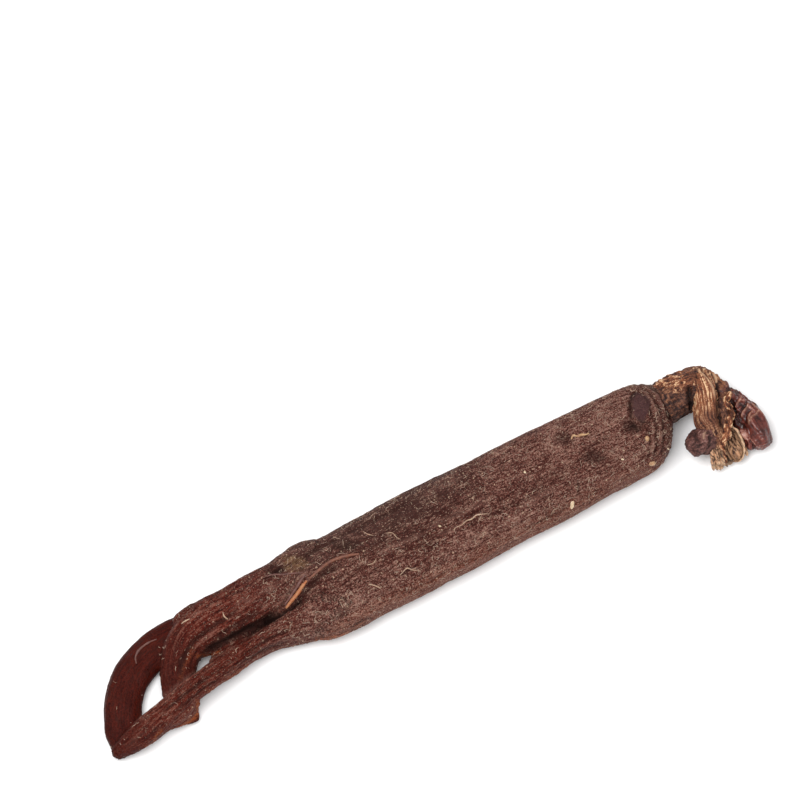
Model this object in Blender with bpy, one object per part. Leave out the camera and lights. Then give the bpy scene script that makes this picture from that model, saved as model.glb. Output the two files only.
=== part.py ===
"""A pressed red ginseng root lying on a table, as one fused solid.

The root is a steamed and dried taproot of one growth: a flattened square body, a long leg
that runs out, folds sharply back at its tip and comes round as a loop, a broad second leg
that passes over the loop and under the long leg, and at the other end the rhizome with its
ribbed stalk, torn hollow sheath, old stem knob and side bulb. Run it with

    blender --background --python part.py

Lengths are in millimetres in the tables below and become metres when the mesh is made.
+X runs along the root towards the rhizome, +Z is up and the table is z = 0.
"""

import math

import bmesh
import bpy
import numpy as np
from mathutils import Matrix, Vector

MM = 0.001

# Sizes of the whole root, in millimetres. Every limb below is scaled by ROOT_SCALE.
ROOT_LENGTH = 160.0
DRAWN_LENGTH = 159.7
ROOT_SCALE = ROOT_LENGTH / DRAWN_LENGTH

# Points of the fused surface nearer than this are one point.
UNION_WELD = 0.03

SKIN_COLOUR = (0.105, 0.036, 0.026, 1.0)
SKIN_ROUGHNESS = 0.62

# Stations along each limb: centre x, y, z, then half width and half height of the section.
BODY = (
    (-34.0, 2.4, 5.8, 5.4, 3.9),
    (-30.0, 2.7, 6.2, 8.0, 5.4),
    (-24.0, 2.9, 6.4, 10.2, 6.6),
    (-12.0, 3.5, 6.5, 10.6, 6.8),
    (0.0, 4.0, 6.6, 10.6, 6.95),
    (14.0, 4.4, 6.6, 10.45, 6.95),
    (28.0, 4.9, 6.65, 10.2, 7.0),
    (40.0, 5.2, 6.7, 10.0, 7.05),
    (50.0, 5.5, 6.8, 9.7, 7.0),
    (54.0, 5.8, 6.85, 9.2, 6.75),
    (56.7, 6.4, 6.9, 8.1, 6.2),
    (58.7, 7.2, 6.95, 6.7, 5.5),
    (60.1, 7.9, 7.0, 5.2, 4.6),
    (61.1, 8.2, 7.0, 3.8, 3.4),
)
LONG_LEG = (
    (-12.0, 0.6, 6.4, 6.6, 5.4),
    (-18.0, -0.4, 6.5, 6.9, 6.2),
    (-24.0, -0.7, 6.5, 6.5, 6.4),
    (-30.0, -1.1, 6.3, 4.4, 5.8),
    (-36.0, -1.1, 6.1, 3.0, 4.9),
    (-42.0, -1.6, 6.3, 2.55, 4.1),
    (-48.0, -2.8, 6.9, 2.5, 3.6),
    (-54.0, -4.0, 7.9, 2.5, 3.2),
    (-60.0, -5.5, 8.2, 2.55, 3.1),
    (-66.0, -6.9, 7.0, 2.8, 2.9),
    (-71.0, -7.9, 5.3, 3.0, 2.7),
    (-75.5, -8.9, 3.8, 2.2, 2.3),
    (-78.9, -9.5, 2.5, 1.2, 1.5),
)
BROAD_LEG = (
    (-18.0, 9.2, 6.4, 4.2, 5.2),
    (-24.0, 9.9, 6.5, 4.4, 5.9),
    (-28.0, 9.1, 6.6, 4.9, 5.9),
    (-32.0, 8.2, 6.7, 5.4, 5.6),
    (-37.0, 7.7, 6.8, 5.8, 5.0),
    (-44.0, 6.9, 7.1, 6.1, 4.4),
    (-50.0, 6.6, 7.0, 5.7, 3.7),
    (-55.2, 5.0, 6.4, 4.7, 3.0),
    (-58.6, 2.0, 5.2, 3.9, 2.8),
    (-60.2, -1.4, 3.9, 3.7, 2.7),
    (-61.5, -4.8, 3.0, 3.5, 2.6),
    (-62.2, -7.2, 2.2, 3.7, 1.7),
    (-62.6, -8.9, 1.7, 3.5, 1.1),
)
LOOP_LEG = (
    (-47.5, 8.8, 2.7, 2.4, 1.9),
    (-52.0, 9.7, 2.3, 3.5, 2.4),
    (-57.0, 9.4, 2.2, 4.0, 2.4),
    (-62.2, 8.2, 2.2, 4.1, 2.4),
    (-67.8, 5.6, 2.2, 4.1, 2.4),
    (-72.0, 1.4, 2.2, 4.1, 2.4),
    (-74.4, -3.1, 2.1, 4.1, 2.3),
    (-76.3, -6.9, 1.9, 3.4, 2.1),
    (-78.0, -9.2, 1.7, 1.7, 1.6),
)
NECK_AND_BULB = (
    (56.5, 8.0, 7.0, 4.2, 3.8),
    (60.0, 8.3, 7.0, 4.9, 4.5),
    (62.6, 8.4, 7.0, 4.6, 4.4),
    (65.0, 8.5, 7.0, 4.4, 4.6),
    (67.4, 8.5, 7.1, 4.3, 4.6),
    (69.8, 8.0, 6.9, 4.1, 4.3),
    (71.9, 6.5, 6.3, 3.4, 3.8),
    (73.3, 4.3, 5.8, 2.6, 3.2),
    (74.8, 2.0, 5.3, 2.5, 3.0),
    (75.9, -0.7, 4.9, 2.9, 3.4),
    (76.4, -3.8, 4.6, 3.3, 3.9),
    (76.3, -6.4, 4.4, 2.9, 3.6),
    (76.1, -8.3, 4.3, 2.0, 2.6),
)
STALK = (
    (69.3, 9.8, 7.6, 2.3, 2.4),
    (70.0, 8.4, 8.5, 2.8, 3.2),
    (70.0, 6.2, 8.9, 2.8, 3.5),
    (69.3, 3.0, 8.2, 2.7, 3.4),
    (68.8, -0.5, 7.1, 2.8, 3.2),
    (68.6, -3.6, 5.7, 3.4, 2.9),
    (68.6, -6.2, 4.4, 3.9, 2.5),
    (68.7, -8.2, 3.4, 4.0, 2.1),
)
KNOB = (
    (69.0, 1.9, 6.5, 3.0, 2.6),
    (67.3, 0.6, 6.3, 2.9, 2.7),
    (65.5, -1.2, 6.0, 3.0, 2.9),
    (63.9, -2.5, 5.8, 3.15, 3.1),
    (62.5, -3.1, 5.7, 2.5, 2.6),
)
# The crinkled seam of the torn sheath that runs over the stalk, as a thin raised cord.
SHEATH_SEAM = (
    (75.4, 4.4, 7.2, 1.0, 1.0),
    (73.8, 4.0, 8.4, 0.85, 0.95),
    (72.2, 1.6, 9.0, 0.9, 1.0),
    (71.2, -0.9, 8.5, 0.8, 1.0),
    (69.6, -3.2, 7.6, 0.85, 1.0),
    (68.5, -5.6, 6.3, 0.75, 0.95),
    (68.2, -8.0, 5.0, 0.65, 0.9),
)
# The torn sheath's far wall, a thin upright flap between the stalk and the bulb.
SHEATH_WALL = (
    (73.2, 3.2, 7.0, 0.9, 2.4),
    (72.9, 0.4, 6.4, 0.85, 2.7),
    (73.0, -2.4, 5.4, 0.8, 2.7),
    (72.7, -5.0, 4.4, 0.75, 2.4),
    (72.1, -7.0, 3.7, 0.6, 1.9),
)

# Sections: 2 is an ellipse, higher is squarer.
BODY_SQUARENESS = 3.0
LEG_SQUARENESS = 2.4
CROWN_SQUARENESS = 2.1

# The dried skin's furrows: (waves round the section, height in mm, turn in radians per mm).
BODY_FURROWS = ((5, 0.20, 0.012), (9, 0.17, -0.010))
LEG_FURROWS = ((5, 0.22, 0.030), (7, 0.12, -0.022))
LOOP_FURROWS = ((4, 0.20, 0.020),)
CROWN_FURROWS = ((6, 0.28, 0.090),)
STALK_RIBS = ((9, 0.42, 0.050),)
KNOB_FURROWS = ((5, 0.20, 0.10),)

# The torn hollow end of the stalk's sheath.
MOUTH_DEPTH = 3.4
MOUTH_RIM = 0.74
MOUTH_FLOOR = 0.50
RAGGED_RIM = 0.6


def clear_scene():
    for obj in list(bpy.data.objects):
        bpy.data.objects.remove(obj)


def skin_material():
    """The red-brown skin of steamed root."""
    material = bpy.data.materials.new("red_ginseng_skin")
    material.use_nodes = True
    shader = material.node_tree.nodes["Principled BSDF"]
    shader.inputs["Base Color"].default_value = SKIN_COLOUR
    shader.inputs["Roughness"].default_value = SKIN_ROUGHNESS
    shader.inputs["Metallic"].default_value = 0.0
    return material


def spread_along(stations, ring_gap):
    """Stations every ring_gap or so on a Catmull-Rom curve through the given ones."""
    points = np.array(stations, float) * ROOT_SCALE
    before = 2 * points[0] - points[1]
    after = 2 * points[-1] - points[-2]
    padded = np.vstack([before, points, after])
    rows = []
    for i in range(len(points) - 1):
        a, b, c, d = padded[i : i + 4]
        count = max(1, round(np.linalg.norm(c[:3] - b[:3]) / ring_gap))
        for u in np.arange(count) / count:
            rows.append(
                0.5
                * (
                    2 * b
                    + (c - a) * u
                    + (2 * a - 5 * b + 4 * c - d) * u**2
                    + (3 * b - a - 3 * c + d) * u**3
                )
            )
    rows.append(points[-1])
    return np.array(rows)


def with_domes(rows, start_steps, end_steps):
    """Adds rings that round the limb off beyond its first and last station."""

    def dome(end, inner, steps):
        out = end[:3] - inner[:3]
        out /= np.linalg.norm(out)
        reach = 0.75 * min(end[3], end[4])
        rings = []
        for k in range(1, steps + 1):
            angle = 0.5 * math.pi * k / (steps + 0.35)
            ring = end.copy()
            ring[:3] += out * reach * math.sin(angle)
            ring[3:] *= math.cos(angle)
            rings.append(ring)
        return rings

    first = dome(rows[0], rows[1], start_steps)[::-1]
    last = dome(rows[-1], rows[-2], end_steps)
    return np.array([*first, *rows, *last])


def ring_frames(rows, upright):
    """A matrix for each ring: its first axis is the width, its second the height."""
    centres = rows[:, :3]
    tangents = np.gradient(centres, axis=0)
    if upright:
        tangents[:, 1:] = 0
    frames = []
    for centre, tangent in zip(centres, tangents):
        along = Vector(tangent).normalized()
        side = Vector((0, 0, 1)).cross(along).normalized()
        up = along.cross(side)
        frame = Matrix((side, up, along)).transposed().to_4x4()
        frame.translation = Vector(centre)
        frames.append(frame)
    return frames


def section_point(angle, squareness):
    """A point of the unit section: an ellipse whose corners are filled out."""
    c, s = math.cos(angle), math.sin(angle)
    power = 2 / squareness
    return (
        math.copysign(abs(c) ** power, c),
        math.copysign(abs(s) ** power, s),
    )


def furrow_height(furrows, angle, distance):
    return sum(
        height * math.sin(waves * angle + waves + turn * waves * distance)
        for waves, height, turn in furrows
    )


def shape_ring(verts, sides, frame, row, distance, style):
    """Moves one ring of vertices, in their order round the limb, onto its section."""
    half_width, half_height = row[3], row[4]
    relief_share = min(1.0, half_height / style["full_relief_at"])
    for index, vert in enumerate(verts):
        angle = 2 * math.pi * index / sides
        across, high = section_point(angle, style["squareness"])
        relief = furrow_height(style["furrows"], angle, distance) * relief_share
        across *= half_width + relief
        high *= half_height + relief
        vert.co = frame @ Vector((across, high, 0))


def style_of(furrows, squareness=LEG_SQUARENESS, upright=False, full_relief_at=2.5):
    """What a limb's rings share. Upright rings all face along X, however the spine bends."""
    return {
        "furrows": furrows,
        "squareness": squareness,
        "upright": upright,
        "full_relief_at": full_relief_at,
    }


def extrude_ring(bm, ring):
    """Extrudes a closed ring of vertices and returns the new ring in the same order."""
    edges = [bm.edges.get((a, b)) for a, b in zip(ring, ring[1:] + ring[:1])]
    made = bmesh.ops.extrude_edge_only(bm, edges=edges)["geom"]
    new_edges = {e for e in made if isinstance(e, bmesh.types.BMEdge)}
    new_verts = {v for v in made if isinstance(v, bmesh.types.BMVert)}
    following = []
    for vert in ring:
        for edge in vert.link_edges:
            other = edge.other_vert(vert)
            if other in new_verts and edge not in new_edges:
                following.append(other)
    return following


def torn_mouth(bm, ring, frame, row):
    """Turns the last ring into a hollow mouth with a ragged rim."""
    along = frame.to_3x3().col[2]
    centre = frame.translation.copy()
    for index, vert in enumerate(ring):
        angle = 2 * math.pi * index / len(ring)
        tear = math.sin(3 * angle + 0.6) + 0.6 * math.sin(7 * angle)
        vert.co += along * RAGGED_RIM * tear
    for share, back in ((MOUTH_RIM, 0.1), (MOUTH_FLOOR, MOUTH_DEPTH)):
        ring = extrude_ring(bm, ring)
        for vert in ring:
            flat = vert.co - centre
            deep = flat.dot(along)
            flat -= along * deep
            kept = share if back < MOUTH_DEPTH else MOUTH_FLOOR / MOUTH_RIM
            sunk = deep - back if back < MOUTH_DEPTH else -back
            vert.co = centre + flat * kept + along * sunk
    return ring


def make_limb(name, stations, sides, ring_gap, style, domes=(0, 3), mouth=False):
    """One limb as a closed tube, lofted ring by ring through its stations."""
    rows = with_domes(spread_along(stations, ring_gap), *domes)
    frames = ring_frames(rows, style["upright"])
    steps = np.linalg.norm(np.diff(rows[:, :3], axis=0), axis=1)
    distances = np.concatenate([[0.0], np.cumsum(steps)])
    bm = bmesh.new()
    ring = bmesh.ops.create_circle(bm, segments=sides, radius=1.0)["verts"]
    bmesh.ops.contextual_create(bm, geom=ring)
    shape_ring(ring, sides, frames[0], rows[0], distances[0], style)
    for frame, row, distance in zip(frames[1:], rows[1:], distances[1:]):
        ring = extrude_ring(bm, ring)
        shape_ring(ring, sides, frame, row, distance, style)
    if mouth:
        ring = torn_mouth(bm, ring, frames[-1], rows[-1])
    bmesh.ops.contextual_create(bm, geom=ring)
    bmesh.ops.recalc_face_normals(bm, faces=bm.faces)
    mesh = bpy.data.meshes.new(name)
    bm.to_mesh(mesh)
    bm.free()
    mesh.transform(Matrix.Scale(MM, 4))
    return bpy.data.objects.new(name, mesh)


def make_limbs():
    body_style = style_of(BODY_FURROWS, BODY_SQUARENESS, upright=True)
    leg_style = style_of(LEG_FURROWS)
    crown_style = style_of(CROWN_FURROWS, CROWN_SQUARENESS)
    body = make_limb("ginseng_root", BODY, 36, 3.0, body_style, domes=(3, 1))
    others = [
        make_limb("long_leg", LONG_LEG, 20, 2.3, leg_style),
        make_limb("broad_leg", BROAD_LEG, 22, 2.1, leg_style, domes=(1, 2)),
        make_limb("loop_leg", LOOP_LEG, 18, 1.9, style_of(LOOP_FURROWS), domes=(2, 3)),
        make_limb("neck_and_bulb", NECK_AND_BULB, 20, 1.3, crown_style, domes=(1, 3)),
        make_limb("stalk", STALK, 36, 1.4, style_of(STALK_RIBS, CROWN_SQUARENESS),
                  domes=(1, 0), mouth=True),
        make_limb("knob", KNOB, 14, 1.3, style_of(KNOB_FURROWS, CROWN_SQUARENESS)),
        make_limb("sheath_seam", SHEATH_SEAM, 6, 1.6, style_of((), CROWN_SQUARENESS),
                  domes=(1, 1)),
        make_limb("sheath_wall", SHEATH_WALL, 8, 1.8, style_of((), CROWN_SQUARENESS),
                  domes=(1, 1)),
    ]
    return body, others


def fuse(body, others):
    """Joins the limbs to the body, as they grew, and removes the loose ones."""
    group = bpy.data.collections.new("limbs")
    bpy.context.scene.collection.children.link(group)
    for limb in others:
        group.objects.link(limb)
    bpy.context.scene.collection.objects.link(body)
    union = body.modifiers.new("fuse_limbs", "BOOLEAN")
    union.operation = "UNION"
    union.operand_type = "COLLECTION"
    union.collection = group
    union.solver = "MANIFOLD"
    graph = bpy.context.evaluated_depsgraph_get()
    fused = bpy.data.meshes.new_from_object(body.evaluated_get(graph))
    body.modifiers.clear()
    body.data = fused
    for limb in others:
        bpy.data.objects.remove(limb)
    bpy.data.collections.remove(group)


def drop_folded_slivers(bm):
    """Removes slivers left by the union: two faces back to back on the same corners."""
    pairs = {}
    for face in bm.faces:
        pairs.setdefault(frozenset(face.verts), []).append(face)
    folded = [face for faces in pairs.values() if len(faces) > 1 for face in faces]
    bmesh.ops.delete(bm, geom=folded, context="FACES")


def set_on_table(body):
    """Presses the underside flat at z = 0 and centres the root over the origin."""
    bm = bmesh.new()
    bm.from_mesh(body.data)
    bmesh.ops.remove_doubles(bm, verts=bm.verts, dist=UNION_WELD * MM)
    whole = [*bm.verts, *bm.edges, *bm.faces]
    cut = bmesh.ops.bisect_plane(
        bm, geom=whole, plane_co=(0, 0, 0), plane_no=(0, 0, 1), clear_inner=True
    )
    edges = [e for e in cut["geom_cut"] if isinstance(e, bmesh.types.BMEdge)]
    bmesh.ops.holes_fill(bm, edges=edges, sides=0)
    bmesh.ops.triangulate(bm, faces=bm.faces)
    drop_folded_slivers(bm)
    bmesh.ops.recalc_face_normals(bm, faces=bm.faces)
    points = np.array([v.co for v in bm.verts])
    middle = (points.min(axis=0) + points.max(axis=0)) / 2
    bmesh.ops.translate(bm, verts=bm.verts, vec=(-middle[0], -middle[1], 0))
    bm.to_mesh(body.data)
    bm.free()
    print("centred by", [round(float(v) / MM, 3) for v in middle[:2]], "mm")


def main():
    clear_scene()
    body, others = make_limbs()
    fuse(body, others)
    set_on_table(body)
    body.data.materials.clear()
    body.data.materials.append(skin_material())
    body.data.shade_smooth()
    body.data.set_sharp_from_angle(angle=math.radians(50))


main()
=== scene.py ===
"""A pressed red ginseng root on a pale table: its wrinkled skin, rhizome, rootlets and light.

Lengths are millimetres until a piece is finished; the last step turns them into metres.
"""

import itertools
import math
from functools import partial

import bmesh
import bpy
import numpy as np
from bpy.props import FloatProperty, FloatVectorProperty, IntProperty, PointerProperty
from mathutils import Matrix, Vector
from mathutils.bvhtree import BVHTree


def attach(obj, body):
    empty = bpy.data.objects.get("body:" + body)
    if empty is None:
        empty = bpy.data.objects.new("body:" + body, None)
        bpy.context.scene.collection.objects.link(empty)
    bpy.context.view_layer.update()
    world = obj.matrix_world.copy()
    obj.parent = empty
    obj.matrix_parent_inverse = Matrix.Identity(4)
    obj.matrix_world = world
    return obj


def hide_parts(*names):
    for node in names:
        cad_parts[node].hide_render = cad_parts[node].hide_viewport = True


bl_info = {
    "name": "Red Ginseng Root",
    "version": (1, 0, 0),
    "blender": (4, 5, 0),
    "location": "3D View > Sidebar > Ginseng",
    "description": "Builds a pressed red ginseng root with its skin, rhizome and rootlets",
    "category": "Object",
}

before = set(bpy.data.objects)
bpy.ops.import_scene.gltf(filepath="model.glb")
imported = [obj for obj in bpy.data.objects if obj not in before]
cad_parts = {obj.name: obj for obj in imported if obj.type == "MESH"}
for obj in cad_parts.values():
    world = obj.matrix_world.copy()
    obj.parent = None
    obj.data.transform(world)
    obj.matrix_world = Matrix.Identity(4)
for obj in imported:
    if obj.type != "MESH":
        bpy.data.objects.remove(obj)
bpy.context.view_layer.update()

MM = 0.001
NODE = "ginseng_root"
ROOT_SCALE = 160.0 / 159.7
MIDDLE = np.array([-0.062, 2.092, 0.0])
# The way from the root to the camera, how the picture is turned, and the place at its centre.
TOWARDS_EYE = np.array([-0.1532, -0.3058, 0.9397])
PICTURE_TURN = math.radians(-26.6)
PICTURE_CENTRE = (11.65, 36.67)

# Stations along each limb: centre x, y, z, then half width and half height of the section.
BODY = (
    (-34, 2.4, 5.8, 5.4, 3.9), (-30, 2.7, 6.2, 8, 5.4), (-24, 2.9, 6.4, 10.2, 6.6),
    (-12, 3.5, 6.5, 10.6, 6.8), (0, 4, 6.6, 10.6, 6.95), (14, 4.4, 6.6, 10.45, 6.95),
    (28, 4.9, 6.65, 10.2, 7), (40, 5.2, 6.7, 10, 7.05), (50, 5.5, 6.8, 9.7, 7),
    (54, 5.65, 6.85, 9.2, 6.75), (56.7, 6.15, 6.9, 7.95, 6.2), (58.7, 6.85, 6.95, 6.5, 5.5),
    (60.1, 7.6, 7, 5, 4.6), (61.1, 8.2, 7, 3.8, 3.4),
)
LONG_LEG = (
    (-12, 0.6, 6.4, 6.6, 5.4), (-18, -0.4, 6.5, 6.9, 6.2), (-24, -0.7, 6.5, 6.5, 6.4),
    (-30, -1.1, 6.3, 4.4, 5.8), (-36, -1.1, 6.1, 3, 4.9), (-42, -1.6, 6.3, 2.55, 4.1),
    (-48, -2.8, 6.9, 2.5, 3.6), (-54, -4, 7.9, 2.5, 3.2), (-60, -5.5, 8.2, 2.55, 3.1),
    (-66, -6.9, 7, 2.8, 2.9), (-71, -7.9, 5.3, 3, 2.7), (-75.5, -8.5, 3.8, 2.2, 2.3),
    (-78.7, -8.9, 2.5, 1.1, 1.5),
)
BROAD_LEG = (
    (-18, 9.2, 6.4, 4.2, 5.2), (-24, 9.9, 6.5, 4.4, 5.9), (-28, 9.1, 6.6, 4.9, 5.9),
    (-32, 8.2, 6.7, 5.4, 5.6), (-37, 7.7, 6.8, 5.8, 5), (-44, 6.9, 7.1, 6.1, 4.4),
    (-50, 6.6, 7, 5.7, 3.7), (-55.4, 5.2, 6.4, 4.5, 3), (-58.6, 2, 5.2, 3.9, 2.8),
    (-60.2, -1.4, 3.9, 3.7, 2.7), (-61.5, -4.8, 3, 3.5, 2.6), (-62.2, -7.2, 2.2, 3.7, 1.7),
    (-62.6, -8.9, 1.7, 3.5, 1.1),
)
LOOP_LEG = (
    (-47.5, 8.8, 2.7, 2.4, 1.9), (-52, 9.7, 2.3, 3.5, 2.4), (-57, 9.4, 2.2, 4, 2.4),
    (-62.2, 8.2, 2.2, 4.1, 2.4), (-67.8, 5.6, 2.2, 4.1, 2.4), (-72, 1.4, 2.2, 4.1, 2.4),
    (-74.4, -3.1, 2.1, 4.1, 2.3), (-76.3, -6.7, 1.9, 3.4, 2.1), (-78, -8.7, 1.7, 1.6, 1.6),
)
NECK_AND_BULB = (
    (56.5, 8, 7, 4.2, 3.8), (60, 8.3, 7, 4.9, 4.5), (62.6, 8.55, 7, 4.7, 4.4),
    (65, 8.7, 7, 4.45, 4.6), (67.4, 8.6, 7.1, 4.35, 4.6), (69.8, 8, 6.9, 4.2, 4.3),
    (71.7, 6.2, 6.3, 3, 3.6), (73.1, 4.2, 6, 2.2, 3), (74.6, 2.6, 5.9, 2.1, 2.8),
    (75.2, 0.9, 5.6, 2.2, 2.8), (75.7, -0.7, 5.3, 2.75, 3), (76, -2.4, 5, 3.1, 3.3),
    (76.2, -4.4, 4.6, 2.9, 3.6), (76.2, -6.3, 4.3, 2.75, 3.5), (76.2, -7.8, 4.1, 2.2, 3.1),
)
STALK = (
    (70.1, 11.1, 7, 1.5, 1.4), (70.1, 10.7, 8.2, 1.8, 1.5), (69.9, 9.9, 9.2, 2.1, 1.6),
    (69.7, 8.9, 9.8, 2.4, 1.7), (69.5, 7.8, 9.8, 2.65, 2), (69.2, 6.1, 9.3, 2.8, 2.4),
    (68.6, 4.3, 8.8, 2.8, 2.7), (67.8, 2.3, 8.2, 2.85, 3), (67.1, 0.5, 7.6, 2.80, 3.1),
    (67.2, -1.2, 7, 2.4, 2.7), (67.3, -3, 6.2, 2.1, 2.2), (67.4, -4.4, 5.3, 1.8, 1.8),
)
KNOB = (
    (67.6, -2, 7.2, 1.6, 1.8), (66.6, -2.2, 7.2, 2.1, 2.2), (65.2, -2.6, 6.9, 2.75, 2.6),
    (63.85, -2.95, 6.6, 3.05, 2.8), (62.5, -3, 6.3, 2.65, 2.7),
)
# These three are given where they appear from the camera, at their heights.
SHEATH_SEAM = (
    (76.1, 6.3, 7.8, 0.55, 0.7), (74.8, 5.9, 8.6, 0.70, 0.8), (73.8, 4.9, 9, 0.60, 0.8),
    (74, 3.4, 9.1, 0.80, 0.8), (73.7, 1.9, 8.9, 0.65, 0.8), (72.6, 0.8, 8.5, 0.80, 0.8),
    (71.5, -0.4, 8, 0.65, 0.8), (70.4, -2.1, 7.4, 0.70, 0.8), (69.2, -2.9, 6.8, 0.60, 0.7),
    (68.5, -3.8, 6.2, 0.60, 0.7), (68.3, -5, 5.3, 0.42, 0.6), (67.9, -6.5, 4.3, 0.40, 0.5),
    (67.6, -7.7, 3.5, 0.34, 0.4),
)
SHEATH_FOLD = (
    (75, 6.6, 7.2, 0.9, 1.6), (73.3, 5.8, 7.6, 1.2, 1.7), (72.5, 3.9, 7.8, 1.5, 1.7),
    (72.1, 2.2, 7.6, 1.5, 1.7), (71.3, 0.5, 7.1, 1.3, 1.6), (70.2, -1.4, 6.5, 1, 1.4),
)
BULB_LOBE = (
    (74.2, 1.6, 6.2, 0.9, 1.8), (73.9, 0, 5.6, 1.2, 2), (74.3, -1.9, 4.6, 1, 1.6),
    (74.1, -3.4, 4.4, 1.2, 1.9), (74, -5.4, 3.8, 1.2, 1.9), (73.8, -6.6, 3.2, 0.9, 1.5),
)
# Skin that joins the limbs: in the fork, at the broad leg's shoulder, at the gap between the
# legs and under the long leg.
FORK_WEB = (
    (-22, 4.8, 6.4, 3, 6), (-26, 4.9, 6.4, 2.3, 5.8), (-29.5, 4.6, 6.3, 1.5, 5.2),
    (-32.5, 4.2, 6.1, 0.9, 4.4),
)
LEG_SHOULDER = (
    (-46.5, 8.8, 6.9, 2.6, 3.4), (-50.5, 9.9, 6.4, 3, 3), (-53.8, 9.9, 5.7, 2.9, 2.6),
)
GAP_WEB = (
    (-44.5, 0.8, 6.6, 1.2, 2.2), (-47.6, 0.5, 6.3, 1.3, 1.9), (-50, 0.1, 6.3, 0.9, 1.3),
    (-52, -0.9, 6.6, 0.6, 1.2),
)
LEG_FOLD = (
    (-58.2, -6.2, 6, 0.7, 1.8), (-59.6, -7.1, 5.4, 1.4, 3.2), (-61.9, -7.8, 4.8, 1.9, 3.6),
    (-64.4, -8.2, 4.3, 1.9, 3.4), (-66, -8.2, 4.1, 1.5, 2.8), (-68.6, -8.5, 4.1, 1.7, 2.6),
    (-71, -9, 3.9, 1.6, 2.4), (-72.8, -8.8, 3.8, 1, 1.8),
)

BODY_SQUARENESS = 3.0
LEG_SQUARENESS = 2.4
CROWN_SQUARENESS = 2.1
# Sides of each kind of tube, and points along a hair.
BODY_SIDES = 56
LEG_SIDES = 36
WEB_SIDES = 28
ROOTLET_SIDES = 12
HAIR_SIDES = 4
HAIR_POINTS = 5
# The skin's highest relief, how far hairs keep off the gap between the legs, where the rays
# that look for the skin start, and how deep the sheath's cup is.
MOST_RELIEF = 0.55
HAIRLESS = 1.4
RAY_START = 40.0
CUP_DEPTH = 2.5
# The stage in metres: half the table's side, then each light's place and width.
TABLE_HALF = 3.0
KEY_LIGHT = ((-0.24, -0.06, 0.90), 0.62)
FILL_LIGHT = ((0.45, -0.50, 0.60), 0.80)
# Points read at once, and the primes that scramble a noise cell's place into its value.
BATCH = 20000
CELL_PRIMES = np.array([73856093, 19349663, 83492791])
STIRRING_PRIME = 1274126177


class GinsengSizes(bpy.types.PropertyGroup):
    """Sizes of the skin's relief and of the small pieces, in millimetres."""

    skin_cell: FloatProperty(
        name="Skin cell", description="Mesh spacing of the body and legs", default=0.36
    )
    crown_cell: FloatProperty(
        name="Crown cell", description="Mesh spacing of the rhizome", default=0.15
    )
    furrow_height: FloatProperty(
        name="Furrows", description="Height of the lengthwise furrows", default=0.13
    )
    grain_height: FloatProperty(
        name="Grain", description="Height of the skin's fine wrinkles", default=0.07
    )
    rib_height: FloatProperty(
        name="Ribs", description="Height of the stalk's fibrous ribs", default=0.34
    )
    thread_count: IntProperty(
        name="Threads", description="Loose root hairs stuck to the skin", default=3600
    )
    rootlet_radius: FloatProperty(
        name="Rootlet", description="Radius of the dried rootlets", default=0.42
    )


class GinsengColours(bpy.types.PropertyGroup):
    """The colours of the dried root, as linear light."""

    # The darkest grit, also laid in the furrow bottoms as painted shade.
    deep: FloatVectorProperty(
        name="Deep skin", description="Furrow bottoms", subtype="COLOR", size=3,
        default=(0.030, 0.0070, 0.0050),
    )
    skin: FloatVectorProperty(
        name="Skin", description="Most of the body's skin", subtype="COLOR", size=3,
        default=(0.090, 0.0275, 0.0200),
    )
    dust: FloatVectorProperty(
        name="Dust", description="Dry pinkish-grey bloom", subtype="COLOR", size=3,
        default=(0.240, 0.124, 0.096),
    )
    maroon: FloatVectorProperty(
        name="Maroon", description="The clear red skin of the legs", subtype="COLOR", size=3,
        default=(0.078, 0.0080, 0.0035),
    )
    straw: FloatVectorProperty(
        name="Straw", description="Pale threads and scars", subtype="COLOR", size=3,
        default=(0.47, 0.32, 0.22),
    )
    gold: FloatVectorProperty(
        name="Gold", description="The rhizome's fibrous ridges", subtype="COLOR", size=3,
        default=(0.29, 0.102, 0.041),
    )
    bark: FloatVectorProperty(
        name="Bark", description="The rhizome's brown skin", subtype="COLOR", size=3,
        default=(0.145, 0.044, 0.020),
    )
    amber: FloatVectorProperty(
        name="Amber", description="Rootlets and thin rims", subtype="COLOR", size=3,
        default=(0.310, 0.076, 0.021),
    )


class GinsengStage(bpy.types.PropertyGroup):
    """The table, the lights and the camera."""

    floor: FloatVectorProperty(
        name="Table", description="Colour of the table", subtype="COLOR", size=3,
        default=(0.93, 0.93, 0.93),
    )
    key: FloatProperty(name="Key", description="Watts of the big soft light", default=9.0)
    fill: FloatProperty(name="Fill", description="Watts of the side light", default=1.6)
    sky: FloatProperty(name="Sky", description="Strength of the room's light", default=0.62)
    azimuth: FloatProperty(
        name="Azimuth", description="Camera's turn round the root",
        default=PICTURE_TURN, subtype="ANGLE",
    )
    elevation: FloatProperty(
        name="Elevation", description="Camera's height over the table",
        default=math.radians(70.0), subtype="ANGLE",
    )
    lens: FloatProperty(name="Lens", description="Focal length in mm", default=1000.0)
    frame_width: FloatProperty(
        name="Frame", description="Width of table in view, in mm", default=172.0
    )


def sizes():
    return bpy.context.scene.ginseng_sizes


def colours():
    return bpy.context.scene.ginseng_colours


# ---- Limbs: spines, sections and where a point lies on them


def row_points(points):
    """Drawn places, as the part's frame has them."""
    return np.asarray(points, float) * ROOT_SCALE - MIDDLE[: np.shape(points)[-1]]


def raised(stations):
    """Stations given by where they appear from the camera, moved to where they are."""
    points = np.array(stations, float)
    points[:, :2] += points[:, 2:3] * TOWARDS_EYE[:2] / TOWARDS_EYE[2]
    return points


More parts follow.
